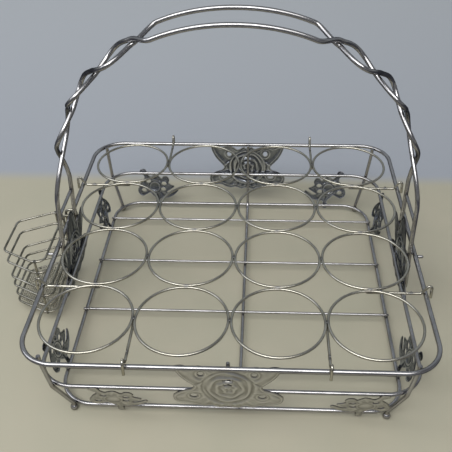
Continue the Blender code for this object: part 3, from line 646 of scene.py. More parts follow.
@dataclass
class Workshop:
    """Holds the sizes, the finishes and the trees, and keeps the pieces and the weld places of each body."""

    sizes: RackSizes = field(default_factory=RackSizes)
    welds: dict[Body, Path] = field(default_factory=lambda: {body: [] for body in Body})
    pieces: list[tuple[bpy.types.Object, Body]] = field(default_factory=list)
    heat_reach: float = 3.2 * MM
    heat_ends_at: float = 3.0

    def __post_init__(self) -> None:
        """Make the finishes and the trees; the ring and basket wire is a duller steel, tinted warmer as a painted
        reflection of the warm table.
        """
        self.finishes = {
            Slot.BRIGHT_WIRE: DrawnSteel().material(),
            # Painted reflection: the warm tints of the ring and basket wire stand in for the warm table that they
            # mirror.
            Slot.RING_WIRE: DrawnSteel(name="bright_drawn_ring_wire", polished="#c4c1b5", smudged="#a8a598",
                                       roughness=0.26).material(),
            Slot.BASKET_WIRE: DrawnSteel(name="dull_drawn_basket_wire", polished="#c1beb2", smudged="#787669",
                                         roughness=0.28).material(),
            Slot.STAMPED_PLATE: StampedSheet().material()}
        self.weld_finish = WeldBead().material()
        self.wire_tree, self.ring_tree, self.weld_tree = DrawnWireTree(), RingGridTree(), WeldTree()

    def finish_piece(self, name: str, mesh: bpy.types.Mesh, body: Body, slot: Slot, *nodes: str) -> None:
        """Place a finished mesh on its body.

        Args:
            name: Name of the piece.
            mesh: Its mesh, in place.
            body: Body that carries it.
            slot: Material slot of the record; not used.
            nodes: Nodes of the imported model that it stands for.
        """
        mesh.name = name
        piece = bpy.data.objects.new(name, mesh)
        bpy.context.scene.collection.objects.link(piece)
        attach(piece, body.value)
        if nodes:
            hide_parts(*nodes)
        self.pieces.append((piece, body))
        LOG.info("%s: %d faces on %s, for %s", name, len(mesh.polygons), body.value, ", ".join(nodes) or "no node")

    def stain_wires(self) -> None:
        """Give every piece the stain beside its welds, as a value on its points."""
        for piece, body in self.pieces:
            tree = KDTree(len(self.welds[body]))
            for index, place in enumerate(self.welds[body]):
                tree.insert(place, index)
            tree.balance()
            heat = piece.data.attributes.new("weld_heat", "FLOAT", "POINT")
            for vertex in piece.data.vertices:
                reach = tree.find(vertex.co)[2] / self.heat_reach
                heat.data[vertex.index].value = exp(-reach * reach) if reach < self.heat_ends_at else 0.0


@dataclass
class SubAssembly:
    """A sub-assembly: the workshop that makes it, the body that carries it and its finish."""

    shop: Workshop
    body: Body = Body.FRAME
    slot: Slot = Slot.BRIGHT_WIRE

    @property
    def sizes(self) -> RackSizes:
        """Sizes of the rack."""
        return self.shop.sizes

    def placed(self, points: Path) -> Path:
        """Move points from the tray's middle to their place."""
        return [point + self.sizes.tray for point in points]

    def straight(self, node: str, axis: int) -> Path:
        """The ends of a straight wire, in the middle of its node's box.

        Args:
            node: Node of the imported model.
            axis: Axis that the wire runs along.

        Returns:
            Its two ends.
        """
        ends = [self.sizes.centre(node), self.sizes.centre(node)]
        for end, limit in zip(ends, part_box(node)):
            end[axis] = limit[axis]
        return ends

    def draw(self, node: str, wires: list[Wire], sides: int = 16, name: str = "",
             longest: float = LONGEST_CHORD) -> None:
        """Draw wires of one diameter as one piece.

        Args:
            node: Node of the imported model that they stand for.
            wires: The wires.
            sides: Sides of the round section.
            name: Name of the piece, where it isn't the node's with _wire behind it.
            longest: Longest chord along the wire.
        """
        name = name or node + "_wire"
        curve = bpy.data.curves.new(name + "_path", "CURVE")
        curve.dimensions = "3D"
        for wire in wires:
            wire.spline(curve, longest)
        mesh = self.shop.wire_tree.grown(curve, {"Diameter": wires[0].diameter, "Sides": sides,
                                                 "Finish": self.shop.finishes[self.slot]})
        self.shop.finish_piece(name, mesh, self.body, self.slot, node)

    def weld(self, name: str, places: Path, size: float, spread: float = 0.22, seed: int = 7) -> None:
        """Set weld beads on the body and remember them for the stain on its wires.

        Args:
            name: Name of the piece.
            places: Where the welds are.
            size: Size of a bead.
            spread: How far chance changes it, as a share.
            seed: Seed of the chance.
        """
        cloud = bpy.data.meshes.new(name + "_places")
        cloud.from_pydata([tuple(place) for place in places], [], [])
        mesh = self.shop.weld_tree.grown(cloud, {"Bead Size": size, "Spread": spread, "Seed": seed,
                                                 "Finish": self.shop.weld_finish})
        self.shop.finish_piece(name, mesh, self.body, self.slot)
        self.shop.welds[self.body] += places


# Sub-assemblies


@dataclass
class TrayFrame(SubAssembly):
    """The three rounded-square loops, the corner struts, and the wires of the floor."""

    corners: tuple[float, float, float] = (30.0 * MM, 30.0 * MM, 29.0 * MM)
    corner_steps: int = 22
    rim_sides: int = 20
    sides: int = 18
    foot_ball: float = 3.3 * MM
    foot_flat: float = 2.2 * MM
    foot_steps: int = 14
    strut_clearance: float = 0.5 * MM
    strut_above_rim: float = 1.0 * MM
    strut_bend: float = 7.0 * MM
    strut_turns: tuple[tuple[str, int, int, float], ...] = (
        ("front_left", -1, -1, radians(62.0)), ("front_right", 1, -1, radians(64.0)),
        ("rear_left", -1, 1, radians(43.0)), ("rear_right", 1, 1, radians(57.0)))
    floor_wires: tuple[str, ...] = tuple(f"floor_wire_{number}" for number in range(1, 5))
    centre_x: float = 8.0 * MM
    centre_bend: float = 8.0 * MM
    centre_lap: float = 2.0 * MM
    upright_x: float = 0.5 * MM
    upright_above_rim: float = 1.5 * MM
    bend_steps: int = 12
    peg_length: float = 5.2 * MM
    least_tip_share: float = 0.02
    bead: float = 2.0 * MM

    @cached_property
    def loops(self) -> list[tuple[str, float, float, float, float]]:
        """Name, half width, corner radius, height and wire of each loop, from the top down."""
        sizes = self.sizes
        return list(zip(("rim_frame", "middle_frame", "base_frame"),
                        (sizes.rim_half, sizes.middle_half, sizes.base_half), self.corners,
                        (sizes.rim_z, sizes.middle_z, sizes.base_z),
                        (sizes.rim_wire, sizes.middle_wire, sizes.base_wire)))

    def build_loops(self) -> None:
        """Rim, middle frame and base frame."""
        for name, half, corner, height, wire in self.loops:
            square = [Vector((x * half, y * half, height)) for x, y in ((1, 1), (-1, 1), (-1, -1), (1, -1))]
            path = rounded_path(square, corner, self.corner_steps, closed=True)
            self.draw(name, [Wire(self.placed(path), wire, closed=True)],
                      self.rim_sides if name == "rim_frame" else self.sides)

    def strut_places(self, side: int, depth: int, turn: float, outs: tuple[float, float, float]) -> Path:
        """Where a strut meets the three loops.

        Args:
            side: 1 at the right, -1 at the left.
            depth: 1 at the rear, -1 at the front.
            turn: Where it stands on the rounded corners, as a turn from the side wall's direction.
            outs: How far outside each loop's middle the place lies.

        Returns:
            A place at each loop, from the top down.
        """
        places = []
        for (_, half, corner, height, _), out in zip(self.loops, outs):
            x, y = (half - corner + (corner + out) * way(turn) for way in (cos, sin))
            places.append(Vector((side * x, depth * y, height)))
        return places

    def build_struts(self) -> None:
        """Four corner struts that end in ball feet with a flat underside."""
        sizes, up = self.sizes, Vector((0, 0, 1))
        inside = (sizes.rim_wire + sizes.strut_wire) / 2 + self.strut_clearance
        outside = (sizes.middle_wire + sizes.strut_wire) / 2 + self.strut_clearance
        radius = sizes.strut_wire / 2
        ball_z = sqrt(self.foot_ball ** 2 - self.foot_flat ** 2)
        neck = atan2(radius, sqrt(self.foot_ball ** 2 - radius ** 2))
        flat = pi - atan2(self.foot_flat, ball_z)
        ball = [neck + (flat - neck) * index / self.foot_steps for index in range(self.foot_steps + 1)]
        for corner, side, depth, turn in self.strut_turns:
            rim, middle, base = self.strut_places(side, depth, turn, (-inside, outside, outside))
            path = [rim + up * self.strut_above_rim, rim - up * sizes.rim_wire, middle, base + up * radius]
            stem = fill_runs(self.placed(rounded_path(path, self.strut_bend, self.bend_steps)), LONGEST_CHORD)
            foot = base + sizes.tray - up * sizes.base_z
            points = stem + [foot + up * (ball_z + self.foot_ball * cos(angle)) for angle in ball]
            widths = [1.0] * len(stem) + [self.foot_ball * sin(angle) / radius for angle in ball]
            self.draw("corner_strut_" + corner, [Wire(points, sizes.strut_wire, widths=widths)], self.sides)

    def wall_path(self, side: int, x: float) -> Path:
        """An upright on the inner side of every loop.

        Args:
            side: 1 at the rear wall, -1 at the front.
            x: Place along the wall.

        Returns:
            Its corners, from above the rim to the base.
        """
        sizes = self.sizes
        at_rim = sizes.rim_half - (sizes.rim_wire + sizes.upright_wire) / 2 - sizes.plate - 2 * sizes.gap
        at_middle = sizes.middle_half - (sizes.middle_wire + sizes.upright_wire) / 2 - sizes.gap
        at_base = sizes.base_half - (sizes.base_wire + sizes.upright_wire) / 2 - sizes.gap
        levels = ((at_rim, sizes.rim_z + self.upright_above_rim), (at_rim, sizes.rim_z),
                  (at_middle, sizes.middle_z), (at_base, sizes.base_z))
        return [Vector((x, side * out, height)) for out, height in levels]

    def build_floor(self) -> None:
        """Cross wires, the bent centre wire and the front upright."""
        sizes = self.sizes
        for name in self.floor_wires:
            self.draw(name, [Wire(self.straight(name, 0), sizes.floor_wire)])
        under = sizes.centre("floor_wire_1").z - (sizes.floor_wire + sizes.upright_wire) / 2 - sizes.gap
        over = sizes.base_z + (sizes.base_wire + sizes.upright_wire) / 2 + sizes.gap
        wall = self.wall_path(1, self.centre_x)
        wall[-1].z = under
        rise = self.centre_bend + over - under
        wall += [Vector((self.centre_x, y - sizes.base_half, height))
                 for y, height in ((2 * rise, under), (rise, over), (-self.centre_lap, over))]
        for name, path in (("centre_wire", wall), ("front_upright", self.wall_path(-1, self.upright_x))):
            bent = rounded_path(path, self.centre_bend, self.bend_steps)
            self.draw(name, [Wire(self.placed(bent), sizes.upright_wire)], self.sides)

    def build_pegs(self) -> None:
        """The short pegs beside the handle, with domed ends."""
        radius = self.sizes.peg_wire / 2
        turns = [pi / 2 * index / self.foot_steps for index in range(self.foot_steps + 1)]
        for name, side in (("side_peg_left", -1), ("side_peg_right", 1)):
            middle = self.sizes.centre(name)
            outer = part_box(name)[(side + 1) // 2].x
            reaches = [self.peg_length] + [radius * (1 - sin(turn)) for turn in turns]
            points = [Vector((outer - side * reach, middle.y, middle.z)) for reach in reaches]
            widths = [1.0] + [max(cos(turn), self.least_tip_share) for turn in turns]
            self.draw(name, [Wire(points, self.sizes.peg_wire, widths=widths)])

    def weld_places(self) -> Path:
        """Where floor wires, uprights and struts are welded to the loops.

        Returns:
            The places of the welds.
        """
        sizes = self.sizes
        places: Path = []
        floor_z = sizes.base_z + sizes.base_wire / 2
        depths = [sizes.centre(name).y for name in self.floor_wires]
        for y in depths:
            places += [Vector((side * sizes.base_half, y, floor_z)) for side in (-1, 1)]
        rim, middle, base = self.loops
        for side, x in ((1, self.centre_x), (-1, self.upright_x)):
            places += [Vector((x, side * (half - wire / 2), height))
                       for _, half, _, height, wire in (middle, rim, base)]
        places += [Vector((self.centre_x, y, floor_z)) for y in [-sizes.base_half] + depths]
        for _, side, depth, turn in self.strut_turns:
            places += self.strut_places(side, depth, turn, (
                -sizes.rim_wire / 2, sizes.middle_wire / 2, sizes.base_wire / 2))
        return self.placed(places)

    def build(self) -> None:
        """Make the tray."""
        self.build_loops()
        self.build_struts()
        self.build_floor()
        self.build_pegs()
        self.weld("tray_welds", self.weld_places(), self.bead)


@dataclass
class CarryHandle(SubAssembly):
    """The arch: two wires that cross and open again, straight legs and a crossbar on each side."""

    centre_above_ring: float = 44.4 * MM
    half: float = 157.9 * MM
    shift: float = 1.1 * MM
    fullness_share: float = 0.96
    wave_sharpness: float = 1.15
    bulge: float = 2.3 * MM
    bulged_wave: int = 2
    crossings: tuple[float, ...] = (radians(30.4), radians(45.6), radians(60.2), radians(76.7))
    crown_ease: float = radians(7.9)
    rear_reach_shares: tuple[float, ...] = (0.80, 0.58, 0.676, 0.676, 1.0)
    front_reach_shares: tuple[float, ...] = (0.818, 0.849, 0.898, 0.693, 1.0)
    leg_spread: float = 22.5 * MM
    leg_spread_end: float = 25.5 * MM
    leg_below_middle: float = 5.0 * MM
    leg_bend: float = 8.0 * MM
    leg_bend_steps: int = 8
    steps: int = 280
    sides: int = 22
    bead: float = 2.4 * MM

    def __post_init__(self) -> None:
        """Work out the arch's places from the frame."""
        sizes = self.sizes
        self.foot_z = sizes.ring_z + self.centre_above_ring
        self.lower_x = sizes.middle_half + (sizes.middle_wire + sizes.handle_wire) / 2 + sizes.plate + 2 * sizes.gap
        self.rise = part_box("handle_wire_front")[1].z - sizes.handle_wire / 2 - self.foot_z
        self.end_z = sizes.middle_z - self.leg_below_middle

    def arch_point(self, angle: float, spread: float, lift: float) -> Vector:
        """A point of the full arch.

        Args:
            angle: Angle from the arch's top.
            spread: How far it is moved along Y.
            lift: How far it is moved away from the middle.

        Returns:
            The point.
        """
        side = 1 if angle > 0 else -1
        across = side * self.half * abs(sin(angle)) ** self.fullness_share
        height = self.rise * max(cos(angle), 0.0) ** self.fullness_share
        outward = Vector((sin(angle) / self.half, 0, cos(angle) / self.rise)).normalized()
        return Vector((self.shift + across, spread, self.foot_z + height)) + outward * lift

    def wave(self, angle: float, side: int) -> tuple[float, float]:
        """Where one wire runs beside the arch's middle.

        Args:
            angle: Angle from the arch's top.
            side: 1 for the rear wire of the crown, -1 for the front wire.

        Returns:
            Spread along Y and lift away from the middle; at each crossing the wires change sides.
        """
        turn, bulge = abs(angle), 0.0
        passed = sum(turn > crossing for crossing in self.crossings)
        if passed == 0:
            share = min((self.crossings[0] - turn) / self.crown_ease, 1)
            opened, over = share * share * (3 - 2 * share), -cos(share * pi / 2)
        elif passed == len(self.crossings):
            share = (turn - self.crossings[-1]) / (pi / 2 - self.crossings[-1])
            opened, over = sin(share * pi / 2), cos(share * pi / 2)
        else:
            start, end = self.crossings[passed - 1:passed + 1]
            share = (turn - start) / (end - start)
            opened, over = sin(pi * share) ** self.wave_sharpness, (-1) ** passed * cos(pi * share)
            bulge = self.bulge * opened if passed == self.bulged_wave else 0.0
        behind = side * (-1) ** passed > 0
        reach = self.rear_reach_shares[passed] if behind else -self.front_reach_shares[passed]
        lift = (self.sizes.handle_wire + self.sizes.gap) / 2
        return opened * self.leg_spread * reach, side * over * lift + bulge

    def spread_at(self, height: float) -> float:
        """How far a leg stands from the middle, along Y, at a height below the arch."""
        share = (self.foot_z - height) / (self.foot_z - self.end_z)
        return self.leg_spread + (self.leg_spread_end - self.leg_spread) * share

    def wire(self, side: int) -> Wire:
        """One of the two long wires, from leg to leg.

        Args:
            side: 1 for the rear wire of the crown, -1 for the front wire.

        Returns:
            The wire.
        """
        sizes = self.sizes
        angles = [-pi / 2 + pi * index / self.steps for index in range(self.steps + 1)]
        levels = ((sizes.leg_x, sizes.rim_z), (self.lower_x, sizes.middle_z), (self.lower_x, self.end_z))
        legs: list[Path] = []
        for hand in (-1, 1):
            corners = [Vector((self.shift + hand * self.half, side * self.leg_spread, self.foot_z))]
            corners += [Vector((hand * x, side * self.spread_at(z), z)) for x, z in levels]
            legs.append(rounded_path(corners, self.leg_bend, self.leg_bend_steps)[1:])
        arch = [self.arch_point(angle, *self.wave(angle, side)) for angle in angles]
        return Wire(self.placed(legs[0][::-1] + arch + legs[1]), sizes.handle_wire)

    def build(self) -> None:
        """Make the handle."""
        sizes = self.sizes
        for node, side in (("handle_wire_rear", 1), ("handle_wire_front", -1)):
            self.draw(node, [self.wire(side)], self.sides, node + "_drawn")
        places: Path = []
        for node, hand in (("handle_crossbar_left", -1), ("handle_crossbar_right", 1)):
            self.draw(node, [Wire(self.straight(node, 1), sizes.crossbar_wire)])
            crossbar = sizes.centre(node) - sizes.tray
            spots = ((crossbar.x, self.leg_spread - sizes.handle_wire / 2, crossbar.z),
                     (hand * (sizes.rim_half - sizes.rim_wire / 2), self.spread_at(sizes.rim_z), sizes.rim_z),
                     (hand * (sizes.middle_half + sizes.middle_wire / 2 + sizes.plate),
                      self.spread_at(sizes.middle_z), sizes.middle_z))
            places += [Vector((x, side * y, z)) for side in (-1, 1) for x, y, z in spots]
        self.weld("handle_welds", self.placed(places), self.bead)


@dataclass
class RingGrid(SubAssembly):
    """Sixteen cup rings in one plane, and the eight hooks that hang them over the rim."""

    body: Body = Body.RING_GRID
    slot: Slot = Slot.RING_WIRE
    ring_steps: int = 96
    sides: int = 14
    seed: int = 3
    weld_lap: float = 0.1 * MM
    lead_inside: float = 3.0 * MM
    climb: float = radians(60.0)
    crest: float = 9.0 * MM
    crest_out: float = 4.2 * MM
    tail_out: float = 4.8 * MM
    tail: float = 4.0 * MM
    bend: float = 2.6 * MM
    bend_steps: int = 8
    hook_chord: float = 1.2 * MM
    lead_weld_shares: tuple[float, float] = (0.0, 0.44)
    bead: float = 1.9 * MM

    def build_rings(self) -> None:
        """The ring grid, grown by Geometry Nodes."""
        sizes = self.sizes
        mesh = self.shop.ring_tree.grown(bpy.data.meshes.new("ring_grid_start"), {
            "Count": sizes.ring_count, "Pitch": sizes.ring_pitch, "Diameter": sizes.ring_wire,
            "Ring Radius": (sizes.ring_pitch - sizes.ring_wire + self.weld_lap) / 2, "Steps": self.ring_steps,
            "Sides": self.sides, "Centre": sizes.tray + Vector((0, 0, sizes.ring_z)), "Seed": self.seed,
            "Finish": self.shop.finishes[self.slot]})
        numbers = range(1, sizes.ring_count + 1)
        nodes = [f"cup_ring_{row}{column}" for row in numbers for column in numbers]
        self.shop.finish_piece("cup_ring_grid", mesh, self.body, self.slot, *nodes)

    def hook_path(self) -> Path:
        """The hook's path on the right wall, at the middle of the tray.

        Returns:
            Its points, from the ring to the tail outside the rim.
        """
        sizes = self.sizes
        lead_z = sizes.ring_z - (sizes.ring_wire + sizes.hook_wire) / 2 - sizes.gap
        at_rim = sizes.rim_half - ((sizes.rim_wire + sizes.hook_wire) / 2 + sizes.gap) / sin(self.climb)
        crest_z = sizes.rim_z + self.crest
        spots = (((sizes.ring_count - 1) / 2 * sizes.ring_pitch - self.lead_inside, lead_z),
                 (at_rim + (lead_z - sizes.rim_z) / tan(self.climb), lead_z),
                 (at_rim + self.crest / tan(self.climb), crest_z), (sizes.rim_half + self.crest_out, crest_z),
                 (sizes.rim_half + self.tail_out, sizes.rim_z - self.tail))
        return rounded_path([Vector((out, 0, height)) for out, height in spots], self.bend, self.bend_steps)

    def build(self) -> None:
        """Make the rings, the hooks and their welds."""
        sizes, pitch, half = self.sizes, self.sizes.ring_pitch, (self.sizes.ring_count - 1) / 2
        self.build_rings()
        path = self.hook_path()
        places: Path = []
        for wall in (Wall.RIGHT, Wall.REAR, Wall.LEFT, Wall.FRONT):
            turn = Matrix.Rotation((wall.value - Wall.RIGHT.value) * pi / 2, 3, "Z")
            for number, side in ((1, -1), (2, 1)):
                points = self.placed([turn @ (point + Vector((0, side * pitch, 0))) for point in path])
                self.draw(f"rim_hook_{wall.name.lower()}_{number}", [Wire(points, sizes.hook_wire)], self.sides,
                          longest=self.hook_chord)
                places += [turn @ Vector(((half + share) * pitch, side * pitch, sizes.ring_z - sizes.ring_wire / 2))
                           for share in self.lead_weld_shares]
        for row in range(sizes.ring_count):
            for column in range(sizes.ring_count - 1):
                between, across = (column - half + 0.5) * pitch, (row - half) * pitch
                places += [Vector((between, across, sizes.ring_z)), Vector((across, between, sizes.ring_z))]
        self.weld("ring_welds", self.placed(places), self.bead)


@dataclass
class HangingBasket(SubAssembly):
    """A small basket of bent wire loops with a woven mesh floor, hung over the rim."""

    body: Body = Body.BASKET
    slot: Slot = Slot.BASKET_WIRE
    depth: float = 64.0 * MM
    shoulder: float = 12.0 * MM
    inner_half: float = 37.0 * MM
    outer_half: float = 22.0 * MM
    corner: float = 7.0 * MM
    corner_steps: int = 8
    sides: int = 14
    post_inset: float = 8.5 * MM
    post_out_share: float = 0.2
    hanger_bend: float = 4.0 * MM
    hanger_steps: int = 12
    hanger_tail: float = 6.0 * MM
    loop_drop_shares: tuple[float, ...] = (0.0, 0.21, 0.50, 0.67, 0.85, 1.0)
    bead: float = 1.8 * MM
    weave_wire: float = 0.55 * MM
    weave_pitch: float = 2.1 * MM
    weave_steps: int = 5
    weave_sides: int = 6
    weave_inset_share: float = 0.6

    def __post_init__(self) -> None:
        """Work out the basket's places from the frame."""
        low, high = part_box("basket_cage")
        wire = self.sizes.basket_wire
        self.y, self.inner, self.outer = (low.y + high.y) / 2, high.x - wire / 2, low.x + wire / 2
        self.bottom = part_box("basket_floor")[0].z - self.sizes.gap - wire / 2
        self.heights = [self.bottom + self.depth * (1 - share) for share in self.loop_drop_shares]

    def plan(self, inset: float = 0.0) -> list[tuple[float, float]]:
        """Corners of a loop in plan.

        Args:
            inset: How far inside the loop's middle they lie.

        Returns:
            The corners.
        """
        half_in, half_out, shoulder = self.inner_half - inset, self.outer_half - inset, self.inner - self.shoulder
        plan = ((self.inner - inset, -half_in), (self.inner - inset, half_in), (shoulder, half_in),
                (self.outer + inset, half_out), (self.outer + inset, -half_out), (shoulder, -half_in))
        return [(x, y + self.y) for x, y in plan]

    def build_cage(self) -> None:
        """Six loops, two posts and the two hangers."""
        sizes, wire = self.sizes, self.sizes.basket_wire
        loops = [rounded_path([Vector((x, y, height)) for x, y in self.plan()], self.corner, self.corner_steps,
                              closed=True) for height in self.heights]
        wires, welds = [Wire(loop, wire, closed=True) for loop in loops], []
        for side in (-1, 1):
            x, y = self.inner - self.post_inset, self.y + side * (self.inner_half + wire * self.post_out_share)
            wires.append(Wire([Vector((x, y, self.heights[-1] - wire)), Vector((x, y, self.heights[0] + wire))], wire))
            welds += [Vector((x, y, height)) for height in self.heights]
        self.draw("basket_cage", wires, self.sides, "basket_cage_wires")
        for name in ("basket_hanger_front", "basket_hanger_rear"):
            low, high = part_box(name)
            y, radius = sizes.centre(name).y, sizes.hanger_wire / 2
            outside, over, crest = low.x + radius, high.x - radius, high.z - radius
            spots = ((outside, low.z), (outside, crest), (over, crest), (over, sizes.rim_z - self.hanger_tail))
            path = rounded_path([Vector((x, y, z)) for x, z in spots], self.hanger_bend, self.hanger_steps)
            self.draw(name, [Wire(path, sizes.hanger_wire)], self.sides)
            welds += [Vector((outside, y, height)) for height in self.heights]
        self.weld("basket_welds", welds, self.bead)

    def build_floor(self) -> None:
        """The floor: two families of fine wires woven over and under each other."""
        area = np.array(self.plan(self.sizes.basket_wire * self.weave_inset_share))
        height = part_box("basket_floor")[0].z + self.sizes.plate / 2
        wires = []
        for axis in (0, 1):
            low, high = area[:, axis].min(), area[:, axis].max()
            count = int((high - low) / self.weave_pitch) + 1
            for index in range(count):
                at = low + (index + 0.5) * (high - low) / count
                ends = [first[1 - axis] + (at - first[axis]) / (second[axis] - first[axis])
                        * (second[1 - axis] - first[1 - axis])
                        for first, second in zip(area, np.roll(area, -1, 0))
                        if (first[axis] - at) * (second[axis] - at) < 0]
                start, end = min(ends), max(ends)
                steps = max(2, int((end - start) / self.weave_pitch * self.weave_steps))
                points = []
                for run in (start + (end - start) * step / steps for step in range(steps + 1)):
                    lift = self.weave_wire / 2 * cos(pi * (run / self.weave_pitch + index)) * (1 if axis else -1)
                    points.append(Vector((*((run, at) if axis else (at, run)), height + lift)))
                wires.append(Wire(points, self.weave_wire))
        self.draw("basket_floor", wires, self.weave_sides, "basket_mesh_floor", self.weave_pitch)

    def build(self) -> None:
        """Make the basket."""
        self.build_cage()
        self.build_floor()


# Stamped plates


def closed_curve(points: list[tuple[float, float]], steps: int) -> np.ndarray:
    """A smooth closed curve through points.

    Args:
        points: Points of the outline.
        steps: Chords between neighbouring points.

    Returns:
        Array of points, without a repeat of the first.
    """
    knots = np.array(points)
    before, after, beyond = (np.roll(knots, places, 0) for places in (1, -1, -2))
    rows = [0.5 * (2 * knots + (after - before) * t + (2 * before - 5 * knots + 4 * after - beyond) * t ** 2
                   + (3 * knots - before - 3 * after + beyond) * t ** 3) for t in np.arange(steps) / steps]
    return np.stack(rows, 1).reshape(-1, 2)


def edge_distance(places: np.ndarray, loops: list[np.ndarray]) -> np.ndarray:
    """Distance of each place to the nearest of several closed outlines.

    Args:
        places: The places.
        loops: The outlines.

    Returns:
        One distance for each place.
    """
    nearest = np.full(len(places), np.inf)
    for loop in loops:
        for first, second in zip(loop, np.roll(loop, -1, 0)):
            run = second - first
            share = np.clip(((places - first) @ run) / (run @ run), 0, 1)
            nearest = np.minimum(nearest, np.linalg.norm(places - first - share[:, None] * run, axis=1))
    return nearest


def inside(places: np.ndarray, loop: np.ndarray) -> np.ndarray:
    """Whether each place lies inside a closed outline.

    Args:
        places: The places.
        loop: The outline.

    Returns:
        One truth value for each place.
    """
    found = np.zeros(len(places), dtype=bool)
    for (x1, y1), (x2, y2) in zip(loop, np.roll(loop, -1, 0)):
        if y1 != y2:
            crosses = (y1 > places[:, 1]) != (y2 > places[:, 1])
            found ^= crosses & (places[:, 0] < (x2 - x1) * (places[:, 1] - y1) / (y2 - y1) + x1)
    return found


def smooth_step(values: np.ndarray, low: float, high: float) -> np.ndarray:
    """Soft step from 0 at low to 1 at high."""
    share = np.clip((values - low) / (high - low), 0, 1)
    return share * share * (3 - 2 * share)


def ridge(distance: np.ndarray, width: float) -> np.ndarray:
    """A rounded ridge of height 1 over a line, by the distance from it."""
    return np.exp(-(distance / width) ** 2)


def ribs(turn: np.ndarray, power: float) -> np.ndarray:
    """Rounded ribs from 0 to 1, one for each full turn."""
    return (0.5 + 0.5 * np.cos(turn)) ** power


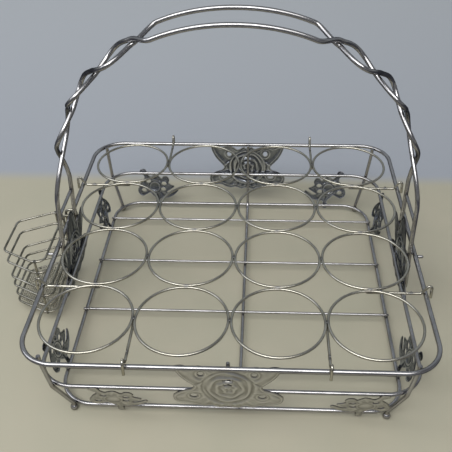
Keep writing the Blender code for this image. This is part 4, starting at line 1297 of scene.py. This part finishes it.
@dataclass
class StampedPlate(SubAssembly):
    """A pierced sheet pressed into relief; the plates below give its outline, holes and relief."""

    slot: Slot = Slot.STAMPED_PLATE
    width: float = 48.0 * MM
    height: float = 44.0 * MM
    cell: float = 0.62 * MM
    clear_share: float = 0.55
    rounding_share: float = 0.15
    # Reach and height of the painted shade and highlight that the finish reads from the relief.
    tone_height: float = 0.5 * MM
    tone_reach: float = 2.2 * MM
    tone_fall: float = 1.5
    sharp_from: float = radians(50.0)
    curve_steps: int = 8

    def outline(self) -> np.ndarray:
        """Outline of the sheet."""
        raise NotImplementedError

    def holes(self) -> list[np.ndarray]:
        """Outlines of the holes."""
        raise NotImplementedError

    def relief(self, x: np.ndarray, y: np.ndarray, edge: np.ndarray) -> np.ndarray:
        """Height of the pressed face over the sheet, by place and distance from the edges."""
        raise NotImplementedError

    @property
    def half_size(self) -> np.ndarray:
        """Half width and half height of the sheet."""
        return np.array((self.width, self.height)) / 2

    def oval(self, place: tuple[float, float], size: tuple[float, float], steps: int) -> np.ndarray:
        """Outline of an oval hole, whose place and half size are shares of the sheet's half size."""
        turns = np.arange(steps) * 2 * pi / steps
        return (np.stack([np.cos(turns), np.sin(turns)], 1) * size + place) * self.half_size

    def resample(self, loop: np.ndarray) -> np.ndarray:
        """Spread a closed outline's points evenly, one to a cell.

        Args:
            loop: The outline.

        Returns:
            The same outline with even chords.
        """
        closed = np.vstack([loop, loop[:1]])
        along = np.concatenate([[0.0], np.cumsum(np.linalg.norm(np.diff(closed, axis=0), axis=1))])
        count = max(8, round(along[-1] / self.cell))
        wanted = np.arange(count) * along[-1] / count
        return np.stack([np.interp(wanted, along, closed[:, axis]) for axis in (0, 1)], 1)

    @cached_property
    def sheet(self) -> tuple[np.ndarray, list[tuple[int, ...]], np.ndarray]:
        """The flat sheet, as a net of triangles with its holes left open.

        Returns:
            Its points, its triangles, and each point's distance from the nearest edge.
        """
        loops = [self.resample(loop) for loop in [self.outline()] + self.holes()]
        low, high = loops[0].min(0), loops[0].max(0)
        axes = [np.arange(low[axis] + self.cell / 2, high[axis], self.cell) for axis in (0, 1)]
        grid = np.stack(np.meshgrid(*axes), -1).reshape(-1, 2)
        grid = grid[inside(grid, loops[0])]
        for hole in loops[1:]:
            grid = grid[~inside(grid, hole)]
        grid = grid[edge_distance(grid, loops) > self.cell * self.clear_share]
        edges, first = [], 0
        for count in map(len, loops):
            edges += [(first + index, first + (index + 1) % count) for index in range(count)]
            first += count
        places = [Vector(place) for place in np.vstack(loops + [grid]) / MM]
        points, _, faces, _, _, _ = delaunay_2d_cdt(places, edges, [], 1, 1e-5)
        flat = np.array([tuple(point) for point in points]) * MM
        middles = np.array([flat[list(face)].mean(0) for face in faces])
        keep = ~np.any([inside(middles, hole) for hole in loops[1:]], axis=0)
        return flat, [tuple(face) for face, kept in zip(faces, keep) if kept], edge_distance(flat, loops)

    def blurred(self, flat: np.ndarray, height: np.ndarray) -> np.ndarray:
        """Mean height around each place, on a coarse grid.

        Args:
            flat: The places.
            height: Height of each place.

        Returns:
            The mean height at each place.
        """
        low = flat.min(0) - self.tone_reach
        size = np.ceil((flat.max(0) + self.tone_reach - low) / self.cell).astype(int) + 1
        spot = tuple(((flat - low) / self.cell).astype(int).T)
        width = int(self.tone_reach / self.cell)
        kernel = np.exp(-(np.arange(-width, width + 1) / width * self.tone_fall) ** 2)
        sums = []
        for values in (height, 1.0):
            total = np.zeros(size)
            np.add.at(total, spot, values)
            for axis in (0, 1):
                total = np.apply_along_axis(np.convolve, axis, total, kernel, "same")
            sums.append(total)
        return (sums[0] / np.maximum(sums[1], 1e-9))[spot]

    def press(self, node: str, wall: Wall, along: float, up: float, out: float, lean: float,
              mirrored: bool = False) -> None:
        """Press the sheet with its thickness and stand it on a wall of the tray.

        Args:
            node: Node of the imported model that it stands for.
            wall: The wall.
            along: Place along the wall.
            up: Height of the sheet's middle.
            out: Distance of the sheet's middle from the tray's.
            lean: How far it leans outwards.
            mirrored: Whether left and right are changed.
        """
        flat, faces, edge = self.sheet
        height = self.relief(flat[:, 0], flat[:, 1], edge)
        half, count = self.sizes.plate / 2, len(flat)
        inset = 1 - np.clip(edge / half, 0, 1)
        rise = half - half * (1 - np.sqrt(np.clip(1 - inset ** 2, 0, 1))) * self.rounding_share
        work = bmesh.new()
        verts = [work.verts.new((*place, z)) for side in (rise, -rise) for place, z in zip(flat, height + side)]
        for a, b, c in faces:
            work.faces.new((verts[a], verts[b], verts[c]))
            work.faces.new((verts[a + count], verts[c + count], verts[b + count]))
        work.verts.index_update()
        for rim in [side for side in work.edges if len(side.link_faces) == 1]:
            first, second = (vert.index for vert in rim.verts)
            if max(first, second) < count:
                work.faces.new([verts[index] for index in (first, second, second + count, first + count)])
        bmesh.ops.recalc_face_normals(work, faces=work.faces)
        sheet = work.loops.layers.uv.new("sheet")
        for face in work.faces:
            face.smooth = True
            for corner in face.loops:
                corner[sheet].uv = corner.vert.co.xy
        mesh = bpy.data.meshes.new(node)
        work.to_mesh(mesh)
        work.free()
        # Painted shade and highlight: relief is the height against the mean height around it, low in hollows and high
        # on ridges; the inner side takes the opposite value, and the cut-wall faces are marked for painted shade.
        tone = np.clip(0.5 + (height - self.blurred(flat, height)) / self.tone_height, 0, 1)
        for name, domain, values in (("relief", "POINT", np.concatenate([tone, 1 - tone])),
                                     ("inner_side", "POINT", np.repeat([0.0, 1.0], count)),
                                     ("shaded_cut_wall", "FACE", np.arange(len(mesh.polygons)) >= 2 * len(faces))):
            mesh.attributes.new(name, "FLOAT", domain).data.foreach_set("value", values.astype(np.float32))
        stand = (Matrix.Translation(self.sizes.tray) @ Matrix.Rotation(wall.value * pi / 2, 4, "Z")
                 @ Matrix.Translation((along, -out, up)) @ Matrix.Rotation(pi / 2 + lean, 4, "X")
                 @ Matrix.Diagonal((-1 if mirrored else 1, 1, 1, 1)))
        mesh.transform(stand)
        if mirrored:
            mesh.flip_normals()
        mesh.set_sharp_from_angle(angle=self.sharp_from)
        mesh.materials.append(self.shop.finishes[self.slot])
        self.shop.finish_piece(node + "_stamped", mesh, self.body, self.slot, node)


@dataclass
class FlowerPlate(StampedPlate):
    """A rose between two winged petals above and two ribbed leaves below."""

    width: float = 88.0 * MM
    height: float = 56.0 * MM
    below_ring: float = 31.0 * MM
    side_below_ring: float = 30.0 * MM
    rear_shift: float = 7.0 * MM
    top_above_ring: float = 18.0 * MM
    top_half: float = 11.0 * MM
    raised_top: bool = False
    lobe_steps: int = 5
    points_under_lobe: int = 3
    leg_band: tuple[float, float] = (19.6 * MM, 28.6 * MM)
    leg_band_ease: float = 2.0 * MM
    outline_shares: tuple[tuple[float, float], ...] = (
        (0.00, 0.86), (0.10, 0.94), (0.24, 0.82), (0.36, 0.92), (0.50, 0.98), (0.66, 0.93), (0.80, 1.00),
        (0.94, 0.93), (0.90, 0.68), (0.82, 0.44), (0.73, 0.26), (0.65, 0.12), (0.61, 0.02), (0.66, -0.10),
        (0.78, -0.17), (0.90, -0.28), (0.99, -0.42), (1.00, -0.58), (0.96, -0.72), (0.84, -0.81),
        (0.71, -0.80), (0.58, -0.90), (0.44, -0.95), (0.30, -0.92), (0.16, -1.00), (0.00, -0.95))
    hole_shares: tuple[tuple[tuple[float, float], tuple[float, float]], ...] = (
        ((0.47, 0.63), (0.055, 0.105)), ((0.62, -0.42), (0.07, 0.09)))
    hole_steps: int = 24
    slot_shares: tuple[float, float] = (0.545, 0.28)
    slot_turns: tuple[float, float] = (radians(21.0), radians(33.0))
    slot_width: float = 2.3 * MM
    slot_sink: float = 0.4 * MM
    slots_within_share: float = 0.85
    rose_radius: float = 20.0 * MM
    rose_oval: float = 1.05
    rose_turns: float = 3.4
    rose_dome: float = 1.5 * MM
    rose_fade: tuple[float, float] = (0.88, 1.04)
    field_from: tuple[float, float] = (1.0, 1.12)
    petal_rise: float = 1.25 * MM
    petal_growth: tuple[float, float] = (0.55, 0.45)
    petal_sharpness: float = 1.4
    petal_waver: float = 0.10
    waver_lobes: int = 5
    waver_twist: int = 9
    border_rise: float = 0.55 * MM
    border_inset: float = 1.4 * MM
    border_width: float = 0.75 * MM
    puff_rise: float = 0.9 * MM
    puff_reach: tuple[float, float] = (0.6 * MM, 6.0 * MM)
    split_at: tuple[float, float] = (18.0 * MM, 9.0 * MM)
    split_way: tuple[float, float] = (0.80, -0.60)
    split_depth: float = 0.9 * MM
    split_width: float = 1.0 * MM
    split_start: tuple[float, float] = (-3.0 * MM, 1.0 * MM)
    split_reach: tuple[float, float] = (0.3 * MM, 2.0 * MM)
    rim_reach: tuple[float, float] = (-0.2 * MM, 1.2 * MM)
    slot_reach: tuple[float, float] = (-0.2 * MM, 1.4 * MM)
    vein_reach: tuple[float, float] = (1.6 * MM, 4.0 * MM)
    vein_rise: float = 0.45 * MM
    wing_veins: int = 17
    wing_root: float = 6.0 * MM
    leaf_ribs: int = 22
    leaf_root: float = 2.0 * MM
    leaf_top: float = -9.0 * MM

    def outline(self) -> np.ndarray:
        """The butterfly-like outline, with a round-topped lobe on the side plates.

        Returns:
            Its points.
        """
        right = [tuple(place) for place in np.array(self.outline_shares) * self.half_size]
        if self.raised_top:
            reach = self.side_below_ring + self.top_above_ring
            lobe = [(self.top_half * sin(turn), reach - self.top_half * (1 - cos(turn)))
                    for turn in (index * pi / 2 / self.lobe_steps for index in range(self.lobe_steps + 1))]
            right = lobe + right[self.points_under_lobe:]
        return closed_curve(right + [(-x, y) for x, y in reversed(right[1:-1])], self.curve_steps)

    def holes(self) -> list[np.ndarray]:
        """Two round holes in the wings, a hole in each leaf, and two arc slots above the rose's eye.

        Returns:
            Their outlines.
        """
        found = [self.oval((side * x, y), size, self.hole_steps)
                 for (x, y), size in self.hole_shares for side in (-1, 1)]
        for share, span in zip(self.slot_shares, self.slot_turns):
            bend = np.linspace(-span, span, self.hole_steps // 2)
            arcs = [np.stack([np.sin(way * bend), np.cos(bend)], 1)
                    * (share * self.rose_radius + way * self.slot_width / 2) for way in (1, -1)]
            found.append(np.vstack(arcs) * (1, self.rose_oval))
        return found

    def relief(self, x: np.ndarray, y: np.ndarray, edge: np.ndarray) -> np.ndarray:
        """A spiral rose, a rolled border, wing petals with veins, and leaves split from them by a crease.

        Args:
            x: Place across the sheet.
            y: Place up the sheet.
            edge: Distance from the nearest edge.

        Returns:
            Height of the pressed face at each place.
        """
        side, turn = np.abs(x), np.arctan2(y, x)
        reach = np.hypot(x, y / self.rose_oval) / self.rose_radius
        waver = self.petal_waver * np.sin(self.waver_lobes * turn + self.waver_twist * reach)
        spiral = reach * self.rose_turns - turn / (2 * pi) + waver
        at_eye, outwards = self.petal_growth
        petals = self.petal_rise * ribs(2 * pi * spiral, self.petal_sharpness) * (at_eye + outwards * reach)
        dome = self.rose_dome * np.clip(1 - reach ** 2, 0, 1)
        rose = (dome + petals) * (1 - smooth_step(reach, *self.rose_fade))
        border = self.border_rise * ridge(edge - self.border_inset, self.border_width)
        puff = self.puff_rise * smooth_step(edge, *self.puff_reach)
        out_x, out_y = side - self.split_at[0], y - self.split_at[1]
        crease = np.abs(out_y * self.split_way[0] - out_x * self.split_way[1])
        along = out_x * self.split_way[0] + out_y * self.split_way[1]
        split = ridge(crease, self.split_width) * smooth_step(along, *self.split_start)
        wing = ribs(np.arctan2(y + self.wing_root, side - self.wing_root) * self.wing_veins, 2)
        leaf = ribs(np.arctan2(-(y + self.leaf_root), side - self.leaf_root) * self.leaf_ribs, 2)
        veins = self.vein_rise * np.where(y > self.leaf_top, wing, leaf) * smooth_step(edge, *self.vein_reach)
        cut = self.split_depth * split * smooth_step(edge, *self.split_reach)
        height = rose + (puff + veins - cut + border) * smooth_step(reach, *self.field_from)
        if self.raised_top:
            first, last = self.leg_band
            height = height * (1 - smooth_step(side, first - self.leg_band_ease, first)
                               * (1 - smooth_step(side, last, last + self.leg_band_ease)))
        flat_rim = height * smooth_step(edge, *self.rim_reach)
        sunk_slots = height - self.slot_sink * (1 - smooth_step(edge, *self.slot_reach))
        return np.maximum(np.where(reach < self.slots_within_share, sunk_slots, flat_rim), 0.0)

    def build_on(self, wall: Wall) -> None:
        """Stand the plate on a wall.

        Args:
            wall: The wall.
        """
        sizes, thick = self.sizes, self.sizes.gap + self.sizes.plate / 2
        at_middle = sizes.middle_half + sizes.middle_wire / 2 + thick
        at_rim = (sizes.leg_x - sizes.handle_wire / 2 if self.raised_top
                  else sizes.rim_half - sizes.rim_wire / 2) - thick
        rise = sizes.rim_z - sizes.middle_z
        up = sizes.ring_z - (self.side_below_ring if self.raised_top else self.below_ring)
        out = at_middle + (up - sizes.middle_z) * (at_rim - at_middle) / rise
        along = -self.rear_shift if wall is Wall.REAR else 0.0
        self.press("flower_plate_" + wall.name.lower(), wall, along, up, out, atan2(at_rim - at_middle, rise))


@dataclass
class LeafPlate(StampedPlate):
    """A small openwork spray of leaves."""

    offset: float = 99.0 * MM
    front_shift: float = 8.0 * MM
    outline_shares: tuple[tuple[float, float], ...] = (
        (0.08, -1.00), (0.10, -0.66), (0.32, -0.62), (0.56, -0.56), (0.80, -0.42), (1.00, -0.18),
        (0.96, -0.05), (0.76, -0.17), (0.56, -0.28), (0.44, -0.24), (0.62, -0.12), (0.82, 0.06),
        (0.64, 0.16), (0.54, 0.26), (0.57, 0.44), (0.46, 0.62), (0.28, 0.62), (0.18, 0.50),
        (0.06, 0.62), (-0.06, 0.73), (-0.22, 0.68), (-0.36, 0.60), (-0.48, 0.70), (-0.54, 0.86),
        (-0.60, 1.00), (-0.78, 1.00), (-0.88, 0.90), (-0.84, 0.76), (-0.68, 0.64), (-0.68, 0.48),
        (-0.82, 0.30), (-0.92, 0.10), (-1.00, -0.12), (-0.96, -0.36), (-0.78, -0.50), (-0.56, -0.40),
        (-0.40, -0.32), (-0.26, -0.46), (-0.12, -0.64), (-0.12, -1.00))
    hole_shares: tuple[tuple[float, float], ...] = ((0.30, 0.22), (0.26, -0.10), (-0.46, 0.34), (-0.70, -0.16))
    hole_size_shares: tuple[float, float] = (0.11, 0.09)
    hole_steps: int = 20
    eye_shares: tuple[float, float] = (-0.16, 0.02)
    eye_dome: float = 1.8 * MM
    eye_radius: float = 6.5 * MM
    ring_rise: float = 0.8 * MM
    ring_radius: float = 7.2 * MM
    ring_width: float = 0.9 * MM
    border_rise: float = 0.45 * MM
    border_inset: float = 1.2 * MM
    border_width: float = 0.65 * MM
    puff_rise: float = 0.6 * MM
    puff_reach: tuple[float, float] = (0.5 * MM, 3.5 * MM)
    spray_from: tuple[float, float] = (7.5 * MM, 9.5 * MM)
    rim_reach: tuple[float, float] = (-0.2 * MM, 1.0 * MM)
    vein_reach: tuple[float, float] = (1.2 * MM, 3.0 * MM)
    vein_rise: float = 0.5 * MM
    vein_count: int = 11
    vein_twist: float = 6.0 * MM

    def outline(self) -> np.ndarray:
        """The lobed outline."""
        return closed_curve(np.array(self.outline_shares) * self.half_size, self.curve_steps)

    def holes(self) -> list[np.ndarray]:
        """Openings between the lobes."""
        return [self.oval(place, self.hole_size_shares, self.hole_steps) for place in self.hole_shares]

    def relief(self, x: np.ndarray, y: np.ndarray, edge: np.ndarray) -> np.ndarray:
        """A domed eye, a rolled border and veins that fan out to the lobes.

        Args:
            x: Place across the sheet.
            y: Place up the sheet.
            edge: Distance from the nearest edge.

        Returns:
            Height of the pressed face at each place.
        """
        eye_x, eye_y = self.eye_shares * self.half_size
        radius, turn = np.hypot(x - eye_x, y - eye_y), np.arctan2(y - eye_y, x - eye_x)
        eye = self.eye_dome * np.clip(1 - (radius / self.eye_radius) ** 2, 0, 1)
        ring = self.ring_rise * ridge(radius - self.ring_radius, self.ring_width)
        veins = self.vein_rise * ribs(turn * self.vein_count + radius / self.vein_twist, 2)
        puff = self.puff_rise * smooth_step(edge, *self.puff_reach)
        border = self.border_rise * ridge(edge - self.border_inset, self.border_width)
        spray = puff + border + veins * smooth_step(edge, *self.vein_reach)
        height = eye + ring + smooth_step(radius, *self.spray_from) * spray
        return height * smooth_step(edge, *self.rim_reach)

    def build_on(self, wall: Wall) -> None:
        """Stand two mirrored plates on a wall.

        Args:
            wall: The wall.
        """
        sizes = self.sizes
        clear = sizes.middle_wire / 2 + sizes.gap + sizes.plate / 2
        lean = atan2(sizes.middle_half - sizes.base_half, sizes.middle_z - sizes.base_z)
        up = (sizes.middle_z + sizes.base_z) / 2
        out = (sizes.middle_half + sizes.base_half) / 2 + clear / cos(lean)
        shift = self.front_shift if wall is Wall.FRONT else 0.0
        for number, side in ((1, -1), (2, 1)):
            self.press(f"leaf_plate_{wall.name.lower()}_{number}", wall, side * self.offset + shift, up, out, lean,
                       side > 0)


# Studio


@dataclass
class Studio:
    """Floor, soft lamps and the camera at the photograph's place."""

    sizes: RackSizes
    focal_pixels: float = 651.68
    principal: tuple[float, float] = (233.75, 230.41)
    place_in_pitches: tuple[float, float, float] = (0.29632, -6.20795, 4.89458)
    yaw: float = -0.05117
    pitch: float = 0.66642
    roll: float = 0.01462
    sensor: float = 36.0
    nearest: float = 0.01
    floor_half: float = 6.0
    # Each lamp's name, place, aim, width and height, power in watts and colour
    lamps: tuple[tuple, ...] = (
        ("ceiling_panel", (-0.3, -1.1, 1.5), (0.0, 0.0, 0.0), (1.5, 0.4), 9.0, "#fefeff"),
        ("overhead_fill", (-0.35, -1.0, 2.3), (0.0, 0.1, 0.0), (3.2, 2.0), 47.0, "#fffefd"),
        ("window", (-1.4, -0.2, 1.2), (0.0, 0.0, 0.05), (0.9, 1.1), 6.0, "#f4f7ff"))
    # Tones from the horizon up: of the dim room, and of the pale wall behind
    room: tuple[tuple[float, str], ...] = ((0.0, "#a0a19c"), (0.22, "#85868a"), (0.6, "#63656d"), (1.0, "#72747a"))
    wall: tuple[tuple[float, str], ...] = ((0.0, "#a2a7ac"), (0.8, "#a2a7ac"), (1.0, "#72747a"))
    wall_from: float = 0.1
    wall_to: float = 0.55

    def build_camera(self) -> None:
        """The camera: its place is counted in ring pitches from the middle of the ring grid."""
        data = bpy.data.cameras.new("photo_view")
        data.sensor_width = self.sensor
        data.lens = self.focal_pixels * self.sensor / PHOTO_PIXELS
        data.shift_x = (PHOTO_PIXELS / 2 - self.principal[0]) / PHOTO_PIXELS
        data.shift_y = (self.principal[1] - PHOTO_PIXELS / 2) / PHOTO_PIXELS
        data.clip_start = self.nearest
        camera = bpy.data.objects.new("photo_view", data)
        forward = Vector((sin(self.yaw) * cos(self.pitch), cos(self.yaw) * cos(self.pitch), -sin(self.pitch)))
        right = Vector((cos(self.yaw), -sin(self.yaw), 0.0))
        down = forward.cross(right)
        across = right * cos(self.roll) + down * sin(self.roll)
        above = right * sin(self.roll) - down * cos(self.roll)
        grid = self.sizes.tray + Vector((0, 0, self.sizes.ring_z))
        place = grid + Vector(self.place_in_pitches) * self.sizes.ring_pitch
        turn = Matrix((across, above, -forward)).transposed().to_4x4()
        camera.matrix_world = Matrix.Translation(place) @ turn
        bpy.context.scene.collection.objects.link(camera)
        bpy.context.scene.camera = camera

    def build_floor(self) -> None:
        """A plain pale floor."""
        work = bmesh.new()
        bmesh.ops.create_grid(work, x_segments=1, y_segments=1, size=self.floor_half)
        mesh = bpy.data.meshes.new("table_top")
        work.to_mesh(mesh)
        work.free()
        mesh.materials.append(PaleTable().material())
        floor = bpy.data.objects.new("table_top", mesh)
        bpy.context.scene.collection.objects.link(floor)

    def build_light(self) -> None:
        """Soft light from above and from a window side, in a dim room with a pale wall behind."""
        for name, place, aim, size, power, colour in self.lamps:
            data = bpy.data.lights.new(name, "AREA")
            data.shape = "RECTANGLE"
            data.size, data.size_y = size
            data.energy = power
            data.color = linear(colour)[:3]
            lamp = bpy.data.objects.new(name, data)
            lamp.location = place
            lamp.rotation_euler = (Vector(aim) - Vector(place)).to_track_quat("-Z", "Y").to_euler()
            bpy.context.scene.collection.objects.link(lamp)
        world = bpy.data.worlds.new("dim_room")
        world.use_nodes = True
        world.node_tree.nodes.clear()
        node = partial(add_node, world.node_tree)
        facing = node("ShaderNodeSeparateXYZ", {0: node("ShaderNodeTexCoord").outputs["Generated"]}).outputs
        behind = node("ShaderNodeMapRange", {"Value": facing["Y"], "From Min": self.wall_from,
                                             "From Max": self.wall_to}, interpolation_type="SMOOTHSTEP")
        seen = node("ShaderNodeMix", {0: behind, 6: ramp(facing["Z"], *self.room), 7: ramp(facing["Z"], *self.wall)},
                    data_type="RGBA")
        glow = node("ShaderNodeBackground", {"Color": seen.outputs[2], "Strength": 1.0})
        node("ShaderNodeOutputWorld", {"Surface": glow})
        bpy.context.scene.world = world

    def build(self) -> None:
        """Make the studio."""
        bpy.context.scene.view_settings.view_transform = "Standard"
        self.build_camera()
        self.build_floor()
        self.build_light()


def main() -> None:
    """Dress the whole rack and light it."""
    logging.basicConfig(level=logging.INFO, format="%(name)s: %(message)s")
    shop = Workshop()
    Studio(shop.sizes).build()
    for part in (TrayFrame, CarryHandle, RingGrid, HangingBasket):
        part(shop).build()
    ends, sides, leaf = FlowerPlate(shop), FlowerPlate(shop, raised_top=True), LeafPlate(shop)
    for wall in Wall:
        (sides if wall in (Wall.LEFT, Wall.RIGHT) else ends).build_on(wall)
        leaf.build_on(wall)
    shop.stain_wires()


if __name__ == "__main__":
    main()
